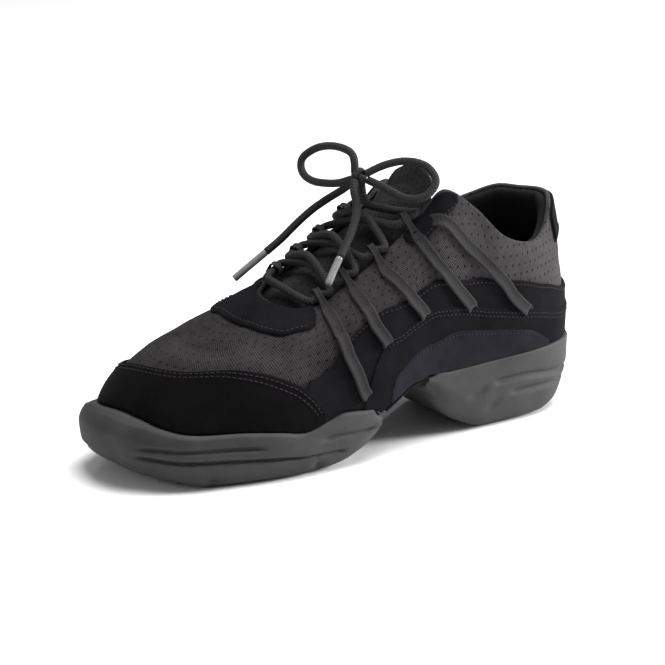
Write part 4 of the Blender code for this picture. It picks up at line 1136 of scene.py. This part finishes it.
# %% Mesh upper
ROLL_STEP, ROLL_RUN, ROLL_HEIGHT, ROLL_CLIMB_FROM = 0.0006, 0.0034, 0.7, 0.98
outer_shares = np.linspace(0.0, 1.0, 61)
inner_shares = np.linspace(1.0, 0.0, 25)
roll_angles = np.radians([30, 60, 90, 120, 150])
places, uvs = [], []
for t in run_steps:
    normal = shell_normal(t, 1.0)
    climb = unit(top_point(t) - shell(t, ROLL_CLIMB_FROM))
    line = [on_last(t, s, 0.0) for s in outer_shares]
    turn = line[-1] - UPPER_WALL / 2 * normal
    line += [turn + UPPER_WALL / 2 * (math.cos(a) * normal + ROLL_HEIGHT * math.sin(a) * climb)
             for a in roll_angles]
    line += [on_last(t, s, -UPPER_WALL) for s in inner_shares]
    places.append(line + line[:1])
    rises = [rise_at(t, s) for s in outer_shares]
    rises += [rises[-1] + ROLL_STEP * (k + 1) for k in range(len(roll_angles))]
    rises += [rise_at(t, 1.0) + ROLL_RUN + rise_at(t, 1.0 - s) for s in inner_shares]
    uvs.append([(run_at(t), rise) for rise in rises + [-UPPER_WALL]])
mesh_upper = closed_piece("mesh_upper", places, uvs)
finish_piece(mesh_upper, mesh_finish, ["upper"])
print("upper with", len(mesh_upper.data.polygons), "faces")


# %% [markdown]
# ## Suede panels
# The foxing, the toe cap, the band and the rest are cut sheets that overlap as on a
# real shoe: foxing first, then the band and the toe cap, then the thin arch layer.

# %% Suede panels
def high_edge(t):
    return EDGE_END


def cap_edge(t):
    return table_value(TOE_CAP_EDGE, t)


def stay_edge(t):
    return table_value(EYESTAY_EDGE, t)


HEEL_TAB_BEND = 0.02


def tab_edge(t):
    return HEEL_TAB_LOW + HEEL_TAB_BEND * (t / HEEL_TAB_ROWS) ** 2


def both_sides(rows):
    """First and last row of an edge, on the lateral and on the medial side."""
    first, last = rows[0][0], rows[-1][0]
    return (first, last), (ROW_COUNT - last, ROW_COUNT - first)


foxing_edge = fold_edge(FOXING_EDGE_FOLDED)
band_edge = fold_edge(BAND_EDGE_FOLDED)
layer_edge = fold_edge(SIDE_LAYER_EDGE_FOLDED)
corner_edge = fold_edge(THROAT_CORNER_EDGE)
SIDES = tuple(zip(("lateral", "medial"), both_sides(SIDE_LAYER_EDGE_FOLDED),
                  both_sides(THROAT_CORNER_EDGE)))
panel("suede_foxing", "foxing", (-FOXING_FRONT_ROW, FOXING_FRONT_ROW), at_rim, foxing_edge,
      side_suede)
panel("suede_band", "side_band", (-BAND_FRONT_ROW, BAND_FRONT_ROW), at_rim, band_edge,
      side_suede, lift=0.0013, thickness=0.0008)
panel("suede_toe_cap", "toe_cap", CAP_ROWS, at_rim, cap_edge, cap_suede, lift=0.0009,
      thickness=0.0009)
panel("suede_eyestay", "eyestay", EYESTAY_ROWS, stay_edge, high_edge, side_suede)
panel("suede_heel_tab", "heel_tab", (-HEEL_TAB_ROWS, HEEL_TAB_ROWS), tab_edge, high_edge,
      side_suede)
for side, layer_ends, corner_ends in SIDES:
    panel(f"arch_layer_{side}", f"side_layer_{side}", layer_ends, at_rim, layer_edge,
          layer_suede, lift=0.0018, thickness=0.0007)
    panel(f"throat_patch_{side}", f"throat_corner_{side}", corner_ends, corner_edge, high_edge,
          side_suede)
print("suede panels laid")


# %% [markdown]
# ## Seams
# A seam is one thread. It lies on the suede for the length of a stitch and then
# dips under it, so a single swept thread shows a row of stitches.

# %% Rows of stitches
STITCH = 0.0024
STEPS_PER_STITCH = 6
STITCH_CRISP, STITCH_SHOWN = 3.0, 0.20
THREAD_RADIUS = 0.00033
THREAD_SINK, THREAD_DIP = 0.00042, 0.00050


def seam(name, node, ends, edge, below, lift, slot="suede"):
    """Stitches along an edge, below metres under it."""
    rough_t = np.linspace(*ends, max(12, int((ends[1] - ends[0]) * 8)))
    rough_s = [edge(t) - below / np.linalg.norm(shell(t, 1.0) - shell(t, 0.0)) for t in rough_t]
    run = run_along([shell(t, s) for t, s in zip(rough_t, rough_s)])
    spots, normals = [], []
    for cut in np.arange(0.0, run[-1], STITCH / STEPS_PER_STITCH):
        t, s = (float(np.interp(cut, run, rough)) for rough in (rough_t, rough_s))
        dip = math.tanh(STITCH_CRISP * (math.cos(2 * math.pi * cut / STITCH) + STITCH_SHOWN))
        spots.append(on_last(t, s, lift - THREAD_SINK + THREAD_DIP * dip))
        normals.append(shell_normal(t, s))
    piece = sweep(name, spots, normals, circle(THREAD_RADIUS, 6))
    finish_piece(piece, thread_finish, [node], 180)


TOP_OF_FOXING, TOP_OF_BAND, TOP_OF_CAP, TOP_OF_LAYER = 0.00160, 0.00215, 0.00185, 0.00255
for name, node, *row in (
        ("toe_cap_outer", "toe_cap", (9.3, 18.7), cap_edge, 0.0020, TOP_OF_CAP),
        ("toe_cap_inner", "toe_cap", (9.4, 18.6), cap_edge, 0.0042, TOP_OF_CAP),
        ("eyestay", "eyestay", (10.6, 16.1), stay_edge, -0.0020, TOP_OF_FOXING),
        ("foxing", "foxing", (-9.2, 9.2), foxing_edge, 0.0020, TOP_OF_FOXING),
        ("band_outer", "side_band", (-7.8, 7.8), band_edge, 0.0019, TOP_OF_BAND),
        ("band_inner", "side_band", (-7.7, 7.7), band_edge, 0.0038, TOP_OF_BAND),
        ("heel_tab", "heel_tab", (-1.4, 1.4), tab_edge, -0.0018, TOP_OF_FOXING)):
    seam(f"seam_{name}", node, *row)
for side, (layer_first, layer_last), (corner_first, corner_last) in SIDES:
    seam(f"seam_arch_{side}", f"side_layer_{side}", (layer_first + 0.5, layer_last - 0.5),
         layer_edge, 0.0018, TOP_OF_LAYER, "side_layer")
    seam(f"seam_throat_{side}", f"throat_corner_{side}",
         (corner_first + 0.15, corner_last - 0.15), corner_edge, -0.0018, TOP_OF_FOXING)
print("seams sewn")

# %% [markdown]
# ## Inside
# The collar is lined with a padded roll, the tongue is padded too, and a sock covers
# the footbed. Each is a closed form around its own strip of the last.

# %% Collar lining
# height share and depth, as a share of the lining's thickness, round its section
LINING_PROFILE = ((0.60, 0.0), (0.70, -0.02), (0.80, -0.02), (0.90, -0.02), (0.975, 0.0),
                  (0.998, 0.35), (0.985, 0.80), (0.93, 1.0), (0.85, 0.98), (0.76, 0.85),
                  (0.67, 0.50), (0.61, 0.15))
LINING_FOLDS = (-4.3, -3.1, -2.0, -1.0, 0.1, 1.1, 2.2, 3.2, 4.2)
LINING_HALF_STEPS = 65
FOLD_HALF, FOLD_DEPTH = 0.16, 0.0007
section = smooth_path(LINING_PROFILE + LINING_PROFILE[:1], 3)
places, uvs = [], []
for k in range(-LINING_HALF_STEPS, LINING_HALF_STEPS + 1):
    t = LINING_END * k / LINING_HALF_STEPS
    fade = max(0.02, 1.0 - (abs(t) / LINING_END) ** 4) ** 0.7
    dent = sum(math.exp(-((t - fold) / FOLD_HALF) ** 2) for fold in LINING_FOLDS)
    thick = fade * (LINING_THICKNESS - FOLD_DEPTH * dent)
    line = [lifted(t, share, -(UPPER_WALL + LINING_GAP + depth * thick))
            for share, depth in section]
    uvs.append([(run_at(t), value) for value in run_along(line)])
    if abs(k) == LINING_HALF_STEPS:
        line = [sum(line) / len(line)] * len(line)
    places.append(line)
lining = closed_piece("padded_collar", places, uvs)
finish_piece(lining, lining_finish, ["collar_lining"], 180)
print("collar lining with", len(lining.data.polygons), "faces")

# %% [markdown]
# The tongue lies under the throat's edges with a padded body between two wings, and
# stands free above them.

# %% Tongue
# above the throat's corners: metres along the tongue, and the share of its width there
TONGUE_TOP_ROWS = ((0.0, 1.0), (0.003, 0.93), (0.007, 0.86), (0.0105, 0.74), (0.013, 0.52),
                   (0.0150, 0.30))
TONGUE_CORNERS = (6.5, 21.5)
TONGUE_CROWN = 0.0058
TONGUE_CROWN_SPAN = 0.030
TONGUE_RIB = 0.0007
TONGUE_SEAT = UPPER_WALL + 0.0009
WING_SHARES = (0.84, 0.92, 1.0)
tongue_up = unit(np.array([0.0, 0.35, 0.94]))


def wing(t, share, under):
    """Place of the tongue's wing below the throat's edge."""
    run = abs(t - TOE_ROW)
    thick = TONGUE_THICKNESS * min(1.0, 0.5 + 0.1 * run)
    spread = min(1.0, 0.3 + 0.5 * max(0.0, TOE_ROW - TONGUE_CORNERS[0] - run))
    return lifted(t, 1.0 - (1.0 - share) * spread, -TONGUE_SEAT - under * thick)


def tongue_ring(upper, under):
    """Closed section from the outer wing over the crown and back underneath."""
    span = min(1.0, np.linalg.norm(upper[-1][1] - upper[-1][0]) / TONGUE_CROWN_SPAN) ** 2
    arcs = []
    for (start, end), rib in ((upper[-1], TONGUE_RIB), (under[-1], 0.0)):
        arc = [start + (end - start) * f for f in np.linspace(0.0, 1.0, 18)]
        for f, spot in zip(np.linspace(0.0, 1.0, 18)[1:-1], arc[1:-1]):
            spot[2] += span * (TONGUE_CROWN * math.sin(math.pi * f) ** 2
                               + rib * math.cos(math.pi * 4 * (f - 0.5)) ** 2)
        arcs.append(arc)
    return ([pair[0] for pair in upper] + arcs[0][1:-1]
            + [pair[1] for pair in upper[::-1] + under] + arcs[1][-2:0:-1]
            + [pair[0] for pair in under[::-1]])


places = []
for step in [0.5 + 0.1 * k for k in range(70)] + [7.5]:
    upper, under = ([[wing(t, share, level) for t in (TOE_ROW - step, TOE_ROW + step)]
                     for share in WING_SHARES] for level in (0, 1))
    places.append(tongue_ring(upper, under))
corners = [[wing(t, 1.0, level) for t in TONGUE_CORNERS] for level in (0, 1)]
for run in np.linspace(0.001, 0.0145, 12):
    width = table_value(TONGUE_TOP_ROWS, run)
    upper, under = ([[(a + b) / 2 + (end - (a + b) / 2) * width + run * tongue_up
                      for end in (a, b)]] * len(WING_SHARES) for a, b in corners)
    places.append(tongue_ring(upper, under))
places = [ring + ring[:1] for ring in with_caps(places)]
along = run_along([ring[20] for ring in places])
uvs = [[(value, run) for value in run_along(ring)] for ring, run in zip(places, along)]
tongue = closed_piece("padded_tongue", places, uvs)
apply_modifier(tongue, "SUBSURF", "Soft", levels=1, render_levels=1)
finish_piece(tongue, tongue_finish, ["tongue"], 180)
print("tongue with", len(tongue.data.polygons), "faces")


# %% [markdown]
# A board that spans from one side of the last to the other serves twice: as the sock
# on the footbed, and as the cover under the arch.


# %% Sock and arch cover
BOARD_EDGE = 0.06


def board(name, rows, reach, top, drop, finish, node):
    """Closed board between both feather lines, from drop up to top over the footbed."""
    across = np.linspace(0.0, 1.0, 17)
    places = []
    for step in np.linspace(*rows, 97):
        a, b = (foot_point(t) + reach * outward(t) for t in (step, ROW_COUNT - step))
        ring = []
        for level, shares in ((top, across), (drop, across[::-1])):
            for f in shares:
                spot = a + (b - a) * f
                soft = min(1.0, min(f, 1.0 - f) / BOARD_EDGE)
                spot[2] = footbed(spot[1]) + drop + (level - drop) * (0.4 + 0.6 * soft)
                ring.append(spot)
        places.append(ring + ring[:1])
    uvs = [[tuple(spot[:2]) for spot in ring] for ring in places]
    piece = closed_piece(name, with_caps(places), uvs[:1] + uvs + uvs[-1:])
    finish_piece(piece, finish, [node])


board("sock", (0.02, 13.98), -(UPPER_WALL + 2 * CLEARANCE), INSOLE_THICKNESS, INSOLE_SEAT,
      sock_finish, "insole")
board("arch_board", ARCH_ROWS, PANEL_LIFT + 0.0014, -ARCH_DROP, -ARCH_DROP - 0.0020,
      layer_suede, "arch_cover")
print("two boards")

# %% [markdown]
# ## The soles
# Both outsoles are moulded foam rubber. One grid runs from the middle line of the
# underside out to the edge, up the wall, over the lip and back in under the foot.
# Shallow grooves are cut in the wall, each along a few (row position, share of the
# wall's height) marks.

# %% Rubber finish
rubber_finish, tree, shader, place, mask = start_finish("foam rubber", 0.72, specular=0.35)
grain = noise(tree, place["Object"], 900.0, 4.0, 0.7)
mottle = map_range(tree, noise(tree, place["Object"], 110.0, 5.0), 0.35, 0.65)
rubber = blend_colors(tree, mottle, (0.0175, 0.0163, 0.0162), (0.0235, 0.0220, 0.0218))
spot = split(tree, place["Object"])
facing = split(tree, add_node(tree, "ShaderNodeNewGeometry").outputs["True Normal"])[2]
zigzag = math_node(tree, "ADD", spot[1], math_node(tree, "ABSOLUTE", spot[0]))
ribs = math_node(tree, "ABSOLUTE", math_node(tree, "SINE", times(tree, zigzag, 900.0)))
tread = times(tree, times(tree, ribs, map_range(tree, facing, -0.75, -0.9)), 6.0)
end_finish(tree, shader, times(tree, mask, 0.12), rubber, (0.11, 0.107, 0.105),
           math_node(tree, "ADD", grain, tread), 0.45, 0.0002)
print("rubber finish with", len(tree.nodes), "nodes")

# %% Grooves, bumper and notches of the walls
# row position and wall share of the marks, then half width as a wall share and depth
FORE_GROOVES = (
    (((12.9, 0.49), (12.3, 0.64), (11.5, 0.70), (10.4, 0.67)), 0.050, 0.0016),
    (((12.95, 0.27), (12.3, 0.38), (11.5, 0.45), (10.7, 0.41), (10.0, 0.38), (9.1, 0.27),
      (8.4, 0.14)), 0.045, 0.0018),
    (((9.2, 0.67), (8.4, 0.52), (7.6, 0.40)), 0.050, 0.0015),
)
HEEL_GROOVES = (
    (((3.9, 0.62), (3.3, 0.63), (2.5, 0.57), (1.2, 0.40), (0.4, 0.34)), 0.050, 0.0018),
    (((3.5, 0.39), (2.6, 0.37), (1.3, 0.22), (0.4, 0.18)), 0.050, 0.0016),
    (((4.6, 0.36), (4.0, 0.60)), 0.060, 0.0010),
    (((4.1, 0.17), (3.7, 0.28)), 0.060, 0.0009),
)
# extra depth of the toe's bumper from its row on, and the two notches at the low edge
TOE_BUMPER, TOE_BUMPER_ROW = 0.0016, 12.8
NOTCH_ROWS = (11.4, 9.15)
NOTCH_HALF, NOTCH_DEPTH = 0.13, 0.0016


def groove_depth(grooves, t, v):
    """Depth of the grooves at the row position t and wall share v."""
    depth = 0.0
    for marks, half, deep in grooves:
        rows = sorted(marks)
        if rows[0][0] <= t <= rows[-1][0]:
            off = (v - table_value(rows, t)) / half
            ends = min(1.0, 6 * (t - rows[0][0]), 6 * (rows[-1][0] - t))
            depth = max(depth, deep * ends * math.exp(-off ** 4))
    return depth


# %% Sole walls
# outline of the wall's foot: how far inward and how high, in edge radii
FOOT_CURVE = ((2.2, 0.0), (1.5, 0.02), (0.9, 0.11), (0.45, 0.32), (0.14, 0.63), (0.0, 1.0))
# outline of the lip: how far inward as a share of it, and how far below the rim
LIP_CURVE = ((0.02, 0.0008), (0.10, 0.0003), (0.28, 0.0), (0.60, 0.0), (0.90, 0.0002))
# shares of the wall's height: its stations, the belly's top, where the lip takes over,
# where the bumper is full and where the notches end; then the bumper left at the rim
WALL_SHARES = np.linspace(0.0, 0.95, 30)[1:]
BELLY_TOP, LIP_START, LIP_RUN = 0.62, 0.59, 0.41
BUMPER_START, NOTCH_TOP, BUMPER_AT_RIM = 0.12, 0.22, 0.7
SEAT_SHARES = (1.0, 0.66, 0.33, 0.0)
END_FADE_ROWS, BUMPER_FADE_ROWS = 0.34, 0.25
END_BOW = 0.0020
STATIONS_PER_ROW = 12


def wall_profile(t, corners, wall_rows, ground, grooves):
    """Points from the sole's underside up its wall and over the lip at row t."""
    heel = wall_rows is HEEL_WALL_ROWS
    foot, out = foot_point(t), outward(t)
    side_row = folded(t)
    end = soften(min(abs(t - corner) for corner in corners) / END_FADE_ROWS)
    square = np.array([math.copysign(1.0, foot[0]), 0.0, 0.0])
    out = unit(out * end + square * (1 - end))
    row = t - ROW_COUNT if heel and t > ROW_COUNT / 2 else t
    full = max(TAB_HEIGHT * table_value(wall_rows, row), foot[2] + RIM_MINIMUM)
    floor = foot[2] - CLEARANCE
    rim = floor + (full - floor) * end
    s_rim = height_share(t, rim)
    ground_out, belly, lip = (table_value(wall_rows, row, k) for k in (2, 3, 4))
    base = foot + ground_out * out
    low = ground(base[1])
    seat = foot + CLEARANCE * out
    rim_out = lifted(t, s_rim, CLEARANCE) * end + seat * (1 - end) + lip * out
    bumper = 0.0 if heel else TOE_BUMPER * soften(
        (side_row - TOE_BUMPER_ROW) / BUMPER_FADE_ROWS)
    notch = 0.0 if heel else sum(
        NOTCH_DEPTH * math.exp(-((side_row - row) / NOTCH_HALF) ** 2) for row in NOTCH_ROWS)
    points = []
    for reach, rise in FOOT_CURVE:
        spot = base - (reach * EDGE_RADIUS + notch * soften(1.0 - reach)) * out
        spot[2] = (ground(spot[1]) if rise == 0.0 else low) + rise * EDGE_RADIUS
        points.append(spot)
    for v in WALL_SHARES:
        swell = math.sin(math.pi * min(v / BELLY_TOP, 1.0) / 2)
        width = ground_out + (belly - ground_out) * swell
        blend = max(0.0, (v - LIP_START) / LIP_RUN) ** 2
        lump = bumper * soften(v / BUMPER_START) - notch * soften(1.0 - v / NOTCH_TOP)
        lump -= groove_depth(grooves, side_row, v) * end
        spot = (foot + width * out) * (1 - blend) + rim_out * blend + lump * out
        spot[2] = low + EDGE_RADIUS + v * (rim - low - EDGE_RADIUS)
        points.append(spot)
    for inward, drop in LIP_CURVE:
        spot = rim_out + (BUMPER_AT_RIM * bumper * (1.0 - inward) - inward * lip) * out
        spot[2] = rim - drop * min(1.0, end + 0.2)
        points.append(spot)
    for k in SEAT_SHARES:
        spot = (lifted(t, s_rim * k, CLEARANCE) if k else seat) * end + seat * (1 - end)
        spot[2] = floor + (min(spot[2], rim - CLEARANCE) - floor) * end
        points.append(spot)
    return points


def arch_end(first, last, ground, toward_gap):
    """Profiles across the sole's arch end, from one corner's profile to the other's."""
    floor, full = first[0][2], first[-1][2] - first[0][2]
    across = []
    for f in np.linspace(0.0, 1.0, 15)[1:-1]:
        points = []
        for a, b in zip(first, last):
            spot = a * (1 - f) + b * f
            rise = min(max((a[2] - floor) / full, 0.0), 1.0)
            spot[1] += toward_gap * END_BOW * 4 * f * (1 - f) * (1 - 0.7 * rise)
            low, high = ground(spot[1]), footbed(spot[1]) - CLEARANCE
            spot[2] = low + (high - low) * rise
            points.append(spot)
        across.append(points)
    return across


def sole_piece(name, tip, corners, wall_rows, ground, grooves, node):
    """Outsole from its tip row to both corners, closed across the arch end."""
    reach = abs(corners[0] - tip)
    toward = 1 if tip == 0 else -1
    steps = np.linspace(0.0, reach, int(reach * STATIONS_PER_ROW) + 1)
    rows = [tip + toward * step for step in steps[:-1]] + list(corners)
    rows += [(tip - toward * step) % ROW_COUNT for step in steps[-2:0:-1]]
    profiles = [wall_profile(t, corners, wall_rows, ground, grooves) for t in rows]
    ends = profiles[len(steps) - 1:len(steps) + 1]
    profiles[len(steps):len(steps)] = arch_end(*ends, ground, -toward)
    size = len(profiles)
    columns, uvs = [], []
    run = 0.0
    for k in range(size + 1):
        own, partner = profiles[k % size], profiles[(size - k) % size]
        run += np.linalg.norm(own[10] - profiles[(k - 1) % size][10])
        under, over = [], []
        for f in (1.0, 0.8, 0.6, 0.4, 0.2):
            for line, edge in ((under, 0), (over, -1)):
                spot = own[edge] + (partner[edge] - own[edge]) * f / 2
                spot[2] = footbed(spot[1]) - CLEARANCE if edge else ground(spot[1])
                line.append(spot)
        columns.append(under + own + over[::-1])
        uvs.append([(run, rise) for rise in run_along(columns[-1])])
    piece = closed_piece(name, columns, uvs)
    return finish_piece(piece, rubber_finish, [node], 60)


fore = sole_piece("rubber_forefoot", TOE_ROW, FORE_CORNERS, FORE_WALL_ROWS, fore_ground,
                  FORE_GROOVES, "forefoot_sole")
heel = sole_piece("rubber_heel", 0, HEEL_CORNERS, HEEL_WALL_ROWS, heel_ground, HEEL_GROOVES,
                  "heel_sole")
print("soles with", len(fore.data.polygons), "and", len(heel.data.polygons), "faces")

# %% [markdown]
# ## Floor and light
# The floor is a pale gloss board. Three soft lamps and a white room light the shoe from
# above, from behind its outer side and a little from the front, as in a product picture.

# %% Floor and light
FLOOR_SIZE = 14.0
FLOOR_GAP = 0.0004
bpy.ops.mesh.primitive_plane_add(size=FLOOR_SIZE, location=(0.0, 0.0, -FLOOR_GAP))
floor = bpy.context.active_object
floor.name = "Floor"
board_finish = bpy.data.materials.new("gloss board")
board_finish.use_nodes = True
board_shader = board_finish.node_tree.nodes["Principled BSDF"]
for socket, value in (("Base Color", (0.93, 0.93, 0.935, 1.0)), ("Roughness", 0.05),
                      ("Specular IOR Level", 0.45)):
    board_shader.inputs[socket].default_value = value
floor.data.materials.append(board_finish)


def soft_lamp(name, place, target, size, power):
    way = Vector(target) - Vector(place)
    bpy.ops.object.light_add(type="AREA", location=place,
                             rotation=way.to_track_quat("-Z", "Y").to_euler())
    lamp = bpy.context.active_object
    lamp.name = name
    lamp.data.shape = "SQUARE"
    lamp.data.size = size
    lamp.data.energy = power


soft_lamp("Top softbox", (0.1, 0.3, 2.2), (0.0, 0.0, 0.0), 1.6, 92.0)
soft_lamp("Side softbox", (0.75, 2.05, 0.75), (0.0, 0.04, 0.04), 0.7, 90.0)
soft_lamp("Front softbox", (0.5, -1.9, 1.0), (0.0, -0.05, 0.05), 0.8, 7.0)
world = bpy.data.worlds.new("White room")
bpy.context.scene.world = world
world.use_nodes = True
room_light = world.node_tree.nodes["Background"].inputs
room_light["Color"].default_value = (1.0, 1.0, 1.0, 1.0)
room_light["Strength"].default_value = 0.28
print("three soft lamps")
